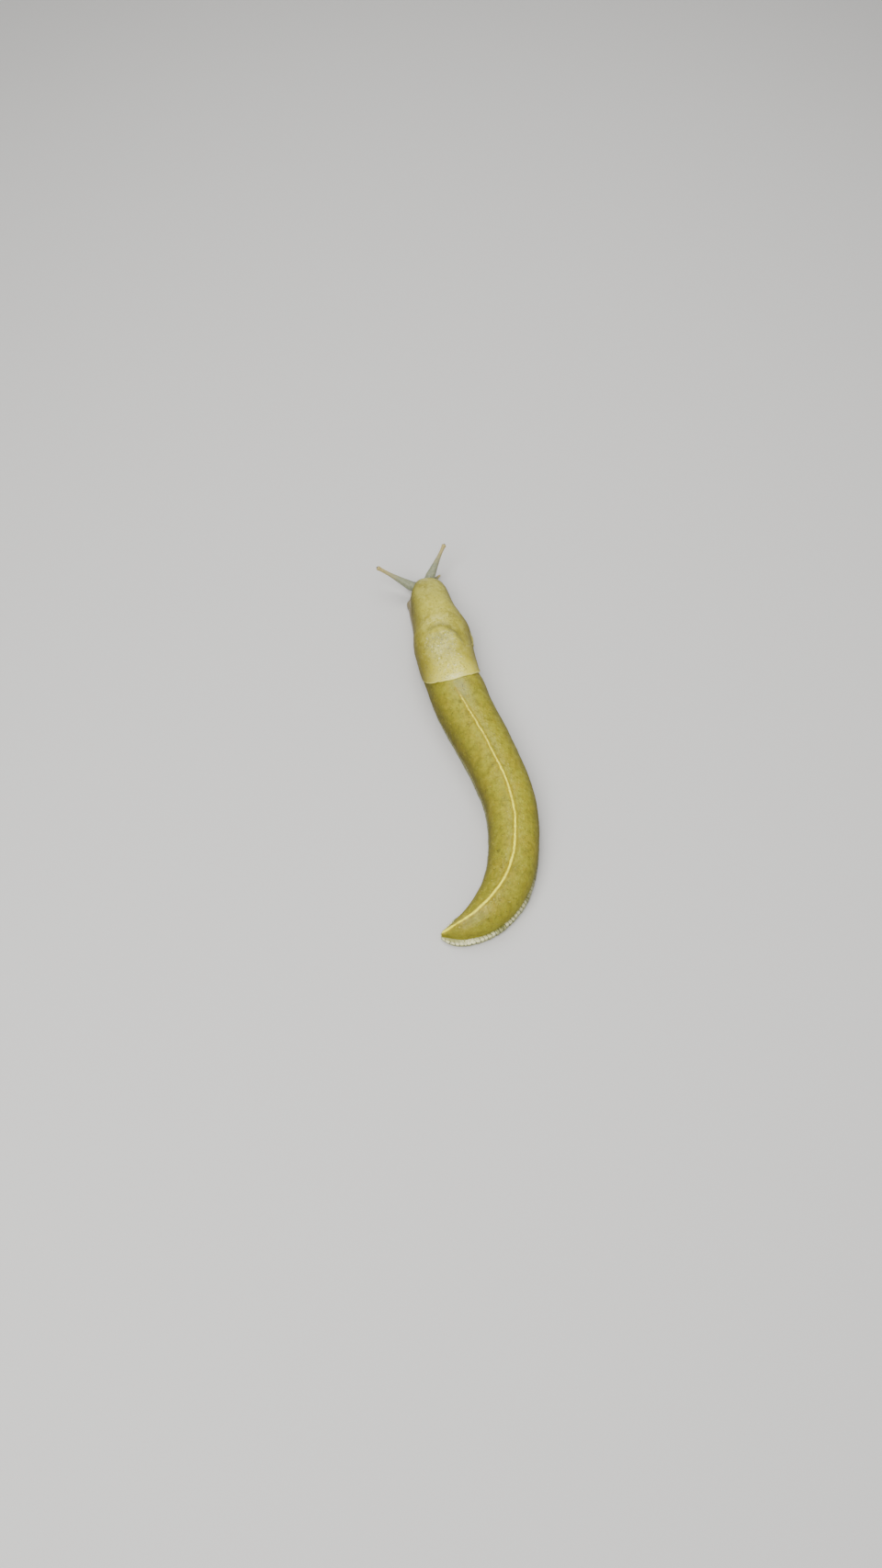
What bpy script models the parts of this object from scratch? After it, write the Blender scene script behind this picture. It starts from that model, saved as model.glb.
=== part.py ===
"""Banana slug as a still, life-size model, crawling with its tail swung round to its left.

The animal lies on the plane z = 0 with its head towards +Y. Most of it is described by a place along
the middle line of the body (from the ground under the snout to the tip of the tail), a distance to
the animal's right of that line, and a height. Sizes are in millimetres and become metres in new_body.
"""

import bmesh
import bpy
import numpy as np
from mathutils import Matrix, Vector

MM = 0.001
GAP = 0.3

# Middle line of the body: where it starts, and which way it runs at each distance (degrees from +X).
PATH_START = (-10.46, 73.54)
HEADING = ((0, -83.7), (20, -78.5), (50, -76.0), (75, -65.0), (95, -69.1),
           (115, -85.3), (135, -104.1), (150, -132.7), (168, -174.3))
PATH_STEP = 0.1
PATH_LENGTH = 172.0

# Outline of the body: half width, top, height where it is widest, and half width at the foot, by distance.
HALF_WIDTH = ((5.3, 3.9), (7, 5.1), (9, 5.9), (12.4, 6.95), (17, 7.65), (21, 8.3), (25, 9.0),
              (33, 10.6), (38, 11.0), (45, 10.9), (60, 10.4), (75, 9.9), (105, 9.1),
              (130, 8.35), (145, 7.5), (150, 6.9), (155, 5.9), (160, 4.5), (164, 3.0), (168, 1.0))
TOP = ((5.3, 9.4), (9, 11.4), (14, 12.8), (22, 14.6), (33, 16.4), (45, 17.2), (60, 16.7),
       (75, 15.6), (105, 14.6), (130, 13.3), (150, 11.0), (160, 8.0), (166, 4.7), (168, 3.0))
WIDEST = ((5.3, 7.6), (9, 7.5), (14, 6.9), (22, 6.6), (45, 7.1), (75, 6.5), (105, 6.2),
          (130, 5.7), (150, 4.8), (160, 3.7), (168, 2.1))
BASE_WIDTH = ((5.3, 4.0), (9, 6.1), (12, 6.8), (16, 7.3), (25, 8.0), (38, 9.3), (50, 9.3), (75, 8.6),
              (105, 7.9), (130, 7.3), (145, 6.5), (150, 5.9), (155, 5.0), (160, 3.9), (168, 0.9))

# Swellings: height, distance, angle from the top to the right, and spread along and round. The lung
# pushes the right side out, behind it lies a hollow round the breathing hole, and the neck bulges left.
SWELLINGS = ((1.0, 29.0, 80.0, 6.0, 38.0), (-0.9, 44.0, 88.0, 7.5, 42.0), (-0.6, 52.5, 88.0, 5.0, 42.0),
             (0.85, 12.0, -75.0, 6.0, 40.0))

# Pale ridge along the back, from behind the mantle to the tip of the tail.
KEEL_ROLL = ((50, -18.5), (75, -8.4), (100, -5.0), (125, 0.0), (150, -9.0), (168, -13.0))
KEEL_HEIGHT = ((58, 0.0), (64, 0.4), (120, 0.5), (155, 0.6), (168, 0.2))
KEEL_WIDTH = 0.75

# Angles round the trunk: close together on the keel, wider apart on the sides, then below them.
KEEL_ANGLES = (-10.0, -4.5, 0.0, 4.5, 10.0)
KEEL_REACH = 20.0
SIDE_ANGLES = 7
LOW_ANGLES = (101.0, 118.0, 138.0, 159.0, 180.0)

# Lengths that the trunk and the foot are parted into.
HEAD_END = 16.0
CUTS = (HEAD_END, 50.0, 92.0, 130.0, 168.0)
TRUNK_STEP = 3.0
MANTLE_EDGE_ZONE = (43.0, 63.0)
MANTLE_STEP = (1.0, 4.0)

# Foot: a flat sole with a fringe of upright ridges round its edge.
FOOT_FRONT = 3.6
FOOT_END = 169.2
FOOT_HALF_WIDTH = ((3.6, 2.0), (4.4, 4.1), (6, 5.8), (9, 7.4), (13, 8.1), (25, 8.9), (50, 9.7),
                   (75, 9.4), (105, 8.9), (130, 8.7), (142, 8.4), (150, 7.6), (156, 6.6),
                   (160, 5.7), (164, 4.6), (167, 3.0), (169.2, 1.0))
FOOT_SHIFT = ((3.6, -1.3), (12, -1.0), (25, -0.4), (50, 0.0), (148, 0.0), (158, 0.4), (168, 0.4))
FOOT_TOP = ((3.6, 1.5), (6, 2.5), (12, 2.9), (135, 2.9), (155, 2.5), (164, 1.9), (169.2, 1.2))
FRINGE_PITCH = 2.5
FRINGE_DEPTH = ((3.6, 0.1), (20, 0.22), (130, 0.25), (150, 0.4), (169.2, 0.3))
FOOT_FRONT_STEPS = (0.0, 0.35, 0.8, 1.6)
FOOT_END_STEPS = (0.9, 0.35, 0.0)

# Edge of the foot from the sole up: share of its height, how far it draws in, and share of the ridge.
FOOT_EDGE = ((0.0, 1.1, 0.0), (0.12, 0.3, 0.7), (0.45, 0.0, 1.0), (0.8, 0.2, 1.0), (1.0, 0.9, 0.3))
FOOT_EDGE_TOP = 2.9
FOOT_LEAST_HALF = 0.2

# Mantle: a flap over the front third of the back.
MANTLE_FRONT = 5.3
MANTLE_FRONT_ROUND = 1.6
MANTLE_REAR = 59.0
MANTLE_REAR_ROUND = 8.0
MANTLE_THICK = ((5.3, 0.9), (12, 1.3), (60, 1.3))
MANTLE_EDGE_THICK = 0.6
MANTLE_EDGE_TAPER = 9.0
MANTLE_PROUD = ((5.3, 0.0), (25, 0.05), (45, 0.35), (60, 0.4))
MANTLE_REACH = ((5.3, 90.0), (8, 91.0), (14, 106.0), (22, 122.0), (30, 130.0), (60, 130.0))
MANTLE_COLUMNS = 26
MANTLE_CROWDING = 1.15
MANTLE_ROWS = 26

# Breathing hole on the right, near the mantle's edge, with a slit down to the edge.
BREATH_PLACE = 37.5
BREATH_HEIGHT = 6.9
BREATH_ANGLE = 88.0
BREATH_SUNK = 0.35
BREATH_SIZE = (1.1, 3.0, 1.2)
BREATH_LIP = (1.5, 0.42)
BREATH_SLIT = (0.6, 4.0, 3.2)

# Head: half width, top, underside and how far it leans to the left, by distance.
HEAD_HALF_WIDTH = ((2.6, 0.9), (3.3, 2.9), (5.3, 4.2), (9, 4.7), (12, 5.0), (16, 6.0))
HEAD_TOP = ((2.6, 5.5), (3.3, 6.5), (5.3, 7.5), (7, 8.2), (9, 9.3), (16, 11.6))
HEAD_MIDDLE = ((2.6, 4.6), (5.3, 4.9), (9, 5.2), (16, 6.8))
HEAD_BASE = ((2.6, 0.6), (3.3, 2.2), (5.3, 3.8), (7, 5.0), (9, 5.9), (12, 6.7), (16, 7.3))
HEAD_UNDER = ((2.6, 3.8), (3.3, 3.2), (4.2, 2.9), (5.3, 2.8), (7, 3.0), (12, 3.2), (16, 3.2))
HEAD_SHIFT = ((2.6, -1.3), (5.3, -1.0), (8, -0.55), (11, -0.1), (16, 0.0))
HEAD_STATIONS = (2.6, 2.8, 3.3, 4.2, 5.3, 7.0, 9.0, 11.5, 14.0, HEAD_END - GAP / 2)
HEAD_SIDES = 25
MOUTH_SIZE = (0.35, 1.6, 1.2)
MOUTH_PLACE = (2.5, -1.3, 4.0)
LIP_SIZE = (0.85, 0.95, 1.35)
LIP_SPREAD = 0.82
LIP_BEHIND = 0.6

# Feelers: root on the head (distance, side, height), azimuth and rise in degrees, length, and how
# much wider than its tube the root spreads.
STALKS = {
    "left": {"root": (6.8, -4.3, 4.6), "azimuth": 162.0, "rise": 23.5, "length": 17.8, "spread": 1.06},
    "right": {"root": (4.9, -0.2, 5.6), "azimuth": 62.7, "rise": 27.2, "length": 16.4, "spread": 1.06},
}
FEELERS = {
    "left": {"root": (4.0, -3.6, 3.9), "azimuth": 160.0, "rise": -14.0, "length": 5.2, "spread": 1.15},
    "right": {"root": (3.9, 1.3, 3.9), "azimuth": 49.0, "rise": -3.0, "length": 5.7, "spread": 1.15},
}
STALK_STUMP = 2.6
STALK_RADIUS = ((0.0, 1.85), (0.12, 1.62), (0.27, 1.35), (0.46, 1.06), (0.66, 0.78), (0.85, 0.68), (0.95, 0.74))
FEELER_STUMP = 1.3
FEELER_RADIUS = ((0.0, 1.0), (0.35, 0.8), (0.75, 0.56), (1.0, 0.3))
STALK_SIDES = 12
BULB_RADIUS = 0.9
EYE_RADIUS = 0.42
EYE_SUNK = 0.1

# Hollow for the eye in a feeler's tip: depth and width of its rings, as shares of the hollow.
HOLLOW = ((0.0, 1.05), (0.55, 0.8), (0.9, 0.35))
RIM_BACK = 0.15

# Skin colours and roughness.
SKIN = ((0.33, 0.27, 0.05), 0.35)
MANTLE_SKIN = ((0.44, 0.38, 0.12), 0.35)
FOOT_SKIN = ((0.42, 0.38, 0.19), 0.4)
HEAD_SKIN = ((0.30, 0.28, 0.13), 0.35)
STALK_SKIN = ((0.30, 0.30, 0.20), 0.4)
EYE_COLOUR = ((0.02, 0.02, 0.02), 0.2)


def along(table, at):
    """Smooth curve without overshoot through a table's points (distance, value)."""
    x, y = np.array(table, dtype=float).T
    width = np.diff(x)
    slope = np.diff(y) / width
    before, after = slope[:-1], slope[1:]
    weight_a = 2 * width[1:] + width[:-1]
    weight_b = width[1:] + 2 * width[:-1]
    same_way = before * after > 0
    safe_before = np.where(same_way, before, 1.0)
    safe_after = np.where(same_way, after, 1.0)
    mean = (weight_a + weight_b) / (weight_a / safe_before + weight_b / safe_after)
    tangent = np.concatenate([[slope[0]], np.where(same_way, mean, 0.0), [slope[-1]]])
    at = np.clip(at, x[0], x[-1])
    k = np.clip(np.searchsorted(x, at) - 1, 0, len(width) - 1)
    t = (at - x[k]) / width[k]
    start = (1 + 2 * t) * (1 - t) ** 2 * y[k] + t * (1 - t) ** 2 * width[k] * tangent[k]
    end = t * t * (3 - 2 * t) * y[k + 1] + t * t * (t - 1) * width[k] * tangent[k + 1]
    return start + end


def trace_path():
    """Distances along the middle line, and its x and y there, by adding up small steps."""
    s = np.arange(0.0, PATH_LENGTH, PATH_STEP)
    heading = np.radians(along(HEADING, s))
    x = PATH_START[0] + np.cumsum(np.cos(heading)) * PATH_STEP
    y = PATH_START[1] + np.cumsum(np.sin(heading)) * PATH_STEP
    return s, x, y


PATH = trace_path()


def place(s, side, up):
    """Point of the model at a distance along the body, a distance to its right, and a height."""
    s = np.asarray(s, dtype=float)
    heading = np.radians(along(HEADING, s))
    x = np.interp(s, PATH[0], PATH[1]) - np.sin(heading) * side
    y = np.interp(s, PATH[0], PATH[2]) + np.cos(heading) * side
    return np.stack(np.broadcast_arrays(x, y, up), axis=-1)


def smooth_step(value, low, high):
    """0 below low, 1 above high, and a smooth rise between them."""
    t = np.clip((value - low) / (high - low), 0, 1)
    return t * t * (3 - 2 * t)


def belly(s):
    """Height of the trunk's underside, just clear of the foot."""
    return along(FOOT_TOP, s) + GAP


def swelling(s, angle):
    """How far the side stands out or in at a distance and an angle from the top."""
    total = 0.0
    for height, distance, turn, spread, spread_round in SWELLINGS:
        total = total + height * np.exp(-((s - distance) / spread) ** 2 - ((angle - turn) / spread_round) ** 2)
    return total


def outline(angle, half, top, middle, base, under, shift):
    """Side and height of a cross-section at an angle from its top, in degrees to the right.

    The upper half is half an ellipse. From its widest place each side runs down in a quarter of
    another ellipse to its base on the foot, which may be narrower or wider than the half width.
    """
    turn = np.radians(angle)
    below = np.clip(np.abs(turn) - np.pi / 2, 0, np.pi / 2)
    is_upper = np.abs(turn) <= np.pi / 2
    lower_side = np.sign(turn) * (base + (half - base) * np.cos(below)) + shift * np.sin(below)
    side = np.where(is_upper, half * np.sin(turn), lower_side)
    lower_up = middle - (middle - under) * np.sin(below)
    up = np.where(is_upper, middle + (top - middle) * np.cos(turn), lower_up)
    return side, up


def section(s, angle, inset):
    """Side and height of the body's outline, drawn in by inset."""
    inset = inset - swelling(s, angle)
    half = along(HALF_WIDTH, s) - inset
    top = along(TOP, s) - inset
    return outline(angle, half, top, along(WIDEST, s), along(BASE_WIDTH, s), belly(s), along(FOOT_SHIFT, s))


def mantle_rear(angle):
    """Distance at which the mantle's free rear edge lies, furthest back on top."""
    return MANTLE_REAR - MANTLE_REAR_ROUND * np.clip(np.abs(angle) / 90, 0, 1.25) ** 2


def mantle_thickness(s, angle):
    """Thickness of the mantle, which thins towards its free rear edge."""
    full = along(MANTLE_THICK, s)
    inside = smooth_step(mantle_rear(angle) - s, 0.0, MANTLE_EDGE_TAPER)
    return MANTLE_EDGE_THICK + (full - MANTLE_EDGE_THICK) * inside


def new_material(name, finish):
    """Principled material with one colour and roughness."""
    colour, roughness = finish
    material = bpy.data.materials.new(name)
    material.use_nodes = True
    shader = material.node_tree.nodes["Principled BSDF"]
    shader.inputs["Base Color"].default_value = (*colour, 1.0)
    shader.inputs["Roughness"].default_value = roughness
    shader.inputs["Metallic"].default_value = 0.0
    material.diffuse_color = (*colour, 1.0)
    return material


def new_collection(name):
    """Collection linked to the scene."""
    collection = bpy.data.collections.new(name)
    bpy.context.scene.collection.children.link(collection)
    return collection


def new_body(name, points, triangles, finish, collection):
    """Closed body from points in millimetres and triangles, with its faces pointing out."""
    mesh = bpy.data.meshes.new(name)
    mesh.from_pydata((points.reshape(-1, 3) * MM).tolist(), [], triangles.tolist())
    work = bmesh.new()
    work.from_mesh(mesh)
    bmesh.ops.recalc_face_normals(work, faces=work.faces)
    work.to_mesh(mesh)
    work.free()
    mesh.shade_smooth()
    body = bpy.data.objects.new(name, mesh)
    body.data.materials.append(new_material(name + "_skin", finish))
    collection.objects.link(body)
    return body


def quad_triangles(index):
    """Triangles of a grid of point numbers, every square split along the same diagonal."""
    a, b, c, d = index[:-1, :-1], index[1:, :-1], index[1:, 1:], index[:-1, 1:]
    first = np.stack([a, b, c], axis=-1).reshape(-1, 3)
    second = np.stack([a, c, d], axis=-1).reshape(-1, 3)
    return np.concatenate([first, second])


def loft(name, rings, finish, collection):
    """Closed body through rings of points, with a fan of triangles over each end."""
    count, around = rings.shape[:2]
    index = np.arange(count * around).reshape(count, around)
    sides = quad_triangles(np.concatenate([index, index[:, :1]], axis=1))
    centres = np.stack([rings[0].mean(axis=0), rings[-1].mean(axis=0)])
    fans = []
    for ring, centre in ((index[0], index.size), (index[-1], index.size + 1)):
        fans.append(np.stack([ring, np.roll(ring, -1), np.full(around, centre)], axis=-1))
    points = np.concatenate([rings.reshape(-1, 3), centres])
    return new_body(name, points, np.concatenate([sides, *fans]), finish, collection)


def shell(name, outer, inner, finish, collection):
    """Closed flap between an outer and an inner grid of points, with a strip along each edge."""
    rows, columns = outer.shape[:2]
    out = np.arange(rows * columns).reshape(rows, columns)
    inn = out + out.size
    parts = [quad_triangles(out), quad_triangles(inn)]
    for edge, back in ((out[0], inn[0]), (out[-1], inn[-1]), (out[:, 0], inn[:, 0]), (out[:, -1], inn[:, -1])):
        parts.append(quad_triangles(np.stack([edge, back])))
    points = np.concatenate([outer.reshape(-1, 3), inner.reshape(-1, 3)])
    return new_body(name, points, np.concatenate(parts), finish, collection)


def keep_largest(mesh):
    """Deletes all but the largest closed surface of a mesh."""
    work = bmesh.new()
    work.from_mesh(mesh)
    left = set(work.faces)
    islands = []
    while left:
        seed = left.pop()
        island = {seed}
        reached = [seed]
        while reached:
            face = reached.pop()
            near = {other for edge in face.edges for other in edge.link_faces if other in left}
            left -= near
            island |= near
            reached.extend(near)
        islands.append(island)
    islands.sort(key=lambda island: sum(face.calc_area() for face in island))
    loose = [face for island in islands[:-1] for face in island]
    bmesh.ops.delete(work, geom=loose, context="FACES")
    work.to_mesh(mesh)
    work.free()


def apply_boolean(body, pieces, operation):
    """Joins the pieces to the body, or cuts them from it, and removes them."""
    group = bpy.data.collections.new(body.name + "_pieces")
    for piece in pieces:
        for owner in list(piece.users_collection):
            owner.objects.unlink(piece)
        group.objects.link(piece)
        piece.hide_render = True
        piece.display_type = "WIRE"
    bpy.context.scene.collection.children.link(group)
    boolean = body.modifiers.new("join", "BOOLEAN")
    boolean.operand_type = "COLLECTION"
    boolean.collection = group
    boolean.operation = operation
    boolean.solver = "EXACT"
    bpy.context.view_layer.update()
    evaluated = body.evaluated_get(bpy.context.evaluated_depsgraph_get())
    mesh = bpy.data.meshes.new_from_object(evaluated)
    keep_largest(mesh)
    body.modifiers.clear()
    old = body.data
    body.data = mesh
    bpy.data.meshes.remove(old)
    mesh.name = body.name
    for piece in list(group.objects):
        bpy.data.objects.remove(piece)
    bpy.data.collections.remove(group)


def ellipsoid(name, centre, half_sizes, heading, collection):
    """Ball stretched to half sizes across, along and up, turned to a heading in degrees."""
    mesh = bpy.data.meshes.new(name)
    work = bmesh.new()
    bmesh.ops.create_uvsphere(work, u_segments=16, v_segments=10, radius=1.0)
    turn = Matrix.Rotation(np.radians(heading + 90), 4, "Z")
    scale = Matrix.Diagonal((*[size * MM for size in half_sizes], 1.0))
    bmesh.ops.transform(work, matrix=Matrix.Translation(Vector(centre) * MM) @ turn @ scale, verts=work.verts)
    work.to_mesh(mesh)
    work.free()
    ball = bpy.data.objects.new(name, mesh)
    collection.objects.link(ball)
    return ball


def stations(start, end, step):
    """Even distances from start to end, close to step apart."""
    return np.linspace(start, end, max(2, int(round((end - start) / step)) + 1))


def trunk_angles(s):
    """Angles round the trunk at each distance: close together on the keel, wider apart elsewhere."""
    roll = along(KEEL_ROLL, s)[:, None]
    crest = roll + np.array(KEEL_ANGLES)
    share = np.linspace(0, 1, SIDE_ANGLES)[None, :]
    left = -90 + (roll - KEEL_REACH + 90) * share
    right = (roll + KEEL_REACH) + (90 - roll - KEEL_REACH) * share
    low = np.broadcast_to(np.array(LOW_ANGLES), (len(s), len(LOW_ANGLES)))
    return np.concatenate([-low[:, ::-1], left, crest, right, low], axis=1)


def trunk_points(s):
    """Rings of the trunk: the body's outline, drawn in under the mantle, with the keel on top."""
    angle = trunk_angles(s)
    s = s[:, None]
    under = mantle_thickness(s, angle) - along(MANTLE_PROUD, s) + GAP
    covered = 1 - smooth_step(s - mantle_rear(angle), *MANTLE_STEP)
    side, up = section(s, angle, under * covered)
    turn = np.radians(angle)
    apart = np.radians(angle - along(KEEL_ROLL, s)) * along(HALF_WIDTH, s)
    ridge = along(KEEL_HEIGHT, s) * np.exp(-((apart / KEEL_WIDTH) ** 2))
    return place(s, side + ridge * np.sin(turn), up + ridge * np.cos(turn))


def make_trunk(collection):
    """Trunk and tail in four lengths, which meet face to face."""
    names = ("trunk_front", "trunk_middle", "trunk_rear", "tail")
    for name, start, end in zip(names, CUTS[:-1], CUTS[1:]):
        first = start + GAP / 2
        last = end - GAP / 2 if end < CUTS[-1] else end
        s = stations(first, last, TRUNK_STEP)
        halves = (s[:-1] + s[1:]) / 2
        near_edge = (halves > MANTLE_EDGE_ZONE[0]) & (halves < MANTLE_EDGE_ZONE[1])
        s = np.unique(np.concatenate([s, halves[near_edge]]))
        loft(name, trunk_points(s), SKIN, collection)


def foot_points(s):
    """Rings of the foot: flat sole, and an edge that swells in and out as a row of upright ridges."""
    s = s[:, None]
    top = along(FOOT_TOP, s)
    wave = along(FRINGE_DEPTH, s) * np.cos(2 * np.pi * s / FRINGE_PITCH)
    share, inward, ridge = np.array(FOOT_EDGE).T
    height = share * top
    drawn_in = inward * np.clip(top / FOOT_EDGE_TOP, 0.4, 1)
    half = np.maximum(along(FOOT_HALF_WIDTH, s) - drawn_in + ridge * wave, FOOT_LEAST_HALF)
    side = np.concatenate([half, -half[:, ::-1]], axis=1) + along(FOOT_SHIFT, s)
    return place(s, side, np.concatenate([height, height[:, ::-1]], axis=1))


def make_foot(collection):
    """Foot in four lengths, each under a length of the body."""
    names = ("foot_front", "foot_middle", "foot_rear", "foot_tail")
    limits = (FOOT_FRONT, *CUTS[1:-1], FOOT_END)
    for name, start, end in zip(names, limits[:-1], limits[1:]):
        first = start + GAP / 2 if start > FOOT_FRONT else start
        last = end - GAP / 2 if end < FOOT_END else end
        s = stations(first, last, FRINGE_PITCH / 2)
        if start == FOOT_FRONT:
            s = np.unique(np.concatenate([start + np.array(FOOT_FRONT_STEPS), s[2:]]))
        if end == FOOT_END:
            s = np.unique(np.concatenate([s[:-1], end - np.array(FOOT_END_STEPS)]))
        loft(name, foot_points(s), FOOT_SKIN, collection)


def mantle_grid():
    """Distance and angle of each point of the mantle, from its front edge to its free rear edge."""
    across = np.linspace(-1, 1, MANTLE_COLUMNS + 1)[None, :]
    share = np.linspace(0, 1, MANTLE_ROWS + 1)[:, None]
    front = MANTLE_FRONT + MANTLE_FRONT_ROUND * (1 - np.sqrt(1 - across ** 2))
    widest_angle = along(MANTLE_REACH, MANTLE_REAR)
    rear = mantle_rear(across * widest_angle)
    s = front + (rear - front) * share ** MANTLE_CROWDING
    return s, across * along(MANTLE_REACH, s)


def mantle_surface(s, angle, inset):
    """Points of the mantle's outer surface, or of a surface that lies inset below it."""
    side, up = section(s, angle, inset - along(MANTLE_PROUD, s))
    return place(s, side, up)


def make_mantle(collection):
    """Mantle flap with the breathing hole, its raised lip and the slit below it."""
    s, angle = mantle_grid()
    outer = mantle_surface(s, angle, 0.0)
    inner = mantle_surface(s, angle, mantle_thickness(s, angle))
    mantle = shell("mantle", outer, inner, MANTLE_SKIN, collection)
    heading = float(along(HEADING, BREATH_PLACE))
    side = float(section(BREATH_PLACE, BREATH_ANGLE, -along(MANTLE_PROUD, BREATH_PLACE))[0]) - BREATH_SUNK
    centre = place(BREATH_PLACE, side, BREATH_HEIGHT)
    apply_boolean(mantle, [breath_lip(centre, heading, collection)], "UNION")
    hole = ellipsoid("hole", centre, (BREATH_SIZE[1], BREATH_SIZE[0], BREATH_SIZE[2]), heading, collection)
    slit_at = place(BREATH_PLACE, side, BREATH_HEIGHT - BREATH_SLIT[2] / 2)
    slit = block("slit", slit_at, (BREATH_SLIT[1], BREATH_SLIT[0], BREATH_SLIT[2]), heading, collection)
    apply_boolean(mantle, [hole, slit], "DIFFERENCE")


def breath_lip(centre, heading, collection):
    """Ring round the breathing hole, lying in the mantle's side."""
    bpy.ops.mesh.primitive_torus_add(major_radius=BREATH_LIP[0] * MM, minor_radius=BREATH_LIP[1] * MM,
                                     major_segments=18, minor_segments=8)
    ring = bpy.context.object
    ring.name = "lip"
    lie = Matrix.Rotation(np.radians(90), 4, "Y")
    turn = Matrix.Rotation(np.radians(heading + 90), 4, "Z")
    ring.data.transform(Matrix.Translation(Vector(centre) * MM) @ turn @ lie)
    return ring


def block(name, centre, sizes, heading, collection):
    """Box of the given sizes across, along and up, turned to a heading in degrees."""
    mesh = bpy.data.meshes.new(name)
    work = bmesh.new()
    bmesh.ops.create_cube(work, size=1.0)
    turn = Matrix.Rotation(np.radians(heading + 90), 4, "Z")
    scale = Matrix.Diagonal((*[size * MM for size in sizes], 1.0))
    bmesh.ops.transform(work, matrix=Matrix.Translation(Vector(centre) * MM) @ turn @ scale, verts=work.verts)
    work.to_mesh(mesh)
    work.free()
    box = bpy.data.objects.new(name, mesh)
    collection.objects.link(box)
    return box


def head_points(s):
    """Rings of the head, whose upper part leans to the left as the head turns."""
    s = s[:, None]
    angle = np.linspace(-180, 180, HEAD_SIDES)[None, :]
    lean = along(HEAD_SHIFT, s)
    side, up = outline(angle, along(HEAD_HALF_WIDTH, s), along(HEAD_TOP, s), along(HEAD_MIDDLE, s),
                       along(HEAD_BASE, s), along(HEAD_UNDER, s), along(FOOT_SHIFT, s) - lean)
    return place(s, side + lean, up)


def direction(spec):
    """Unit vector of a feeler from its azimuth and rise."""
    azimuth, rise = np.radians(spec["azimuth"]), np.radians(spec["rise"])
    return np.array([np.cos(azimuth) * np.cos(rise), np.sin(azimuth) * np.cos(rise), np.sin(rise)])


def tube_rings(root, axis, distances, radii):
    """Rings round a straight axis at distances from its root."""
    across = np.cross(axis, [0.0, 0.0, 1.0])
    across /= np.linalg.norm(across)
    upward = np.cross(across, axis)
    turn = np.linspace(0, 2 * np.pi, STALK_SIDES, endpoint=False)
    circle = np.cos(turn)[:, None] * across + np.sin(turn)[:, None] * upward
    distances = np.asarray(distances, dtype=float)
    radii = np.asarray(radii, dtype=float)
    return root + distances[:, None, None] * axis + radii[:, None, None] * circle[None]


def make_head(collection):
    """Head with the stumps of its feelers, its lips and the slit of its mouth."""
    head = loft("head", head_points(np.array(HEAD_STATIONS)), HEAD_SKIN, collection)
    pieces = []
    for spec, radius, stump in ((STALKS, STALK_RADIUS, STALK_STUMP), (FEELERS, FEELER_RADIUS, FEELER_STUMP)):
        for side in ("left", "right"):
            root = place(*spec[side]["root"])
            narrow = radius[0][1]
            wide = narrow * spec[side]["spread"]
            rings = tube_rings(root, direction(spec[side]), (0.0, stump * 0.4, stump), (wide, wide, narrow))
            pieces.append(loft("stump_" + side, rings, HEAD_SKIN, collection))
    heading = float(along(HEADING, MOUTH_PLACE[0]))
    for side in (-1, 1):
        lip_at = place(MOUTH_PLACE[0] + LIP_BEHIND, MOUTH_PLACE[1] + side * LIP_SPREAD, MOUTH_PLACE[2])
        pieces.append(ellipsoid("lip", lip_at, LIP_SIZE, heading, collection))
    apply_boolean(head, pieces, "UNION")
    mouth = ellipsoid("mouth", place(*MOUTH_PLACE), MOUTH_SIZE, heading, collection)
    apply_boolean(head, [mouth], "DIFFERENCE")


def make_stalks(collection):
    """Upper feelers, each with a round eye set in a hollow in its tip."""
    for side, spec in STALKS.items():
        axis = direction(spec)
        root = place(*spec["root"])
        start = STALK_STUMP + GAP
        rim = spec["length"] - RIM_BACK
        share, radius = np.array(STALK_RADIUS).T
        depth, width = np.array(HOLLOW).T * (EYE_RADIUS + GAP)
        tube = start + (rim - BULB_RADIUS - start) * share
        distances = [*tube, rim - BULB_RADIUS * 0.6, *(rim - depth)]
        radii = [*radius, BULB_RADIUS, *width]
        loft("eyestalk_" + side, tube_rings(root, axis, distances, radii), STALK_SKIN, collection)
        make_eye("eye_" + side, root + axis * (spec["length"] - EYE_SUNK), collection)


def make_eye(name, centre, collection):
    """Round eye."""
    eye = ellipsoid(name, centre, (EYE_RADIUS,) * 3, 0.0, collection)
    eye.data.materials.append(new_material(name + "_skin", EYE_COLOUR))
    eye.data.shade_smooth()


def make_feelers(collection):
    """Lower feelers, short and blunt, beside the mouth."""
    for side, spec in FEELERS.items():
        share, radius = np.array(FEELER_RADIUS).T
        start = FEELER_STUMP + GAP
        distances = start + (spec["length"] - start) * share
        rings = tube_rings(place(*spec["root"]), direction(spec), distances, radius)
        loft("feeler_" + side, rings, STALK_SKIN, collection)


def main():
    for old in list(bpy.data.objects):
        bpy.data.objects.remove(old)
    slug = new_collection("banana_slug")
    make_head(slug)
    make_stalks(slug)
    make_feelers(slug)
    make_mantle(slug)
    make_trunk(slug)
    make_foot(slug)


main()
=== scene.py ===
"""Skin, foot, mantle, feelers and eyes of a still banana slug, built round its solids.

Most places are given as a distance along the middle line of the body (from the ground under the snout
to the tip of the tail), a distance to the animal's right of that line, and a height, in millimetres.
An angle round the body is in degrees from its top, to the right. new_piece turns all into metres.
"""

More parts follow.
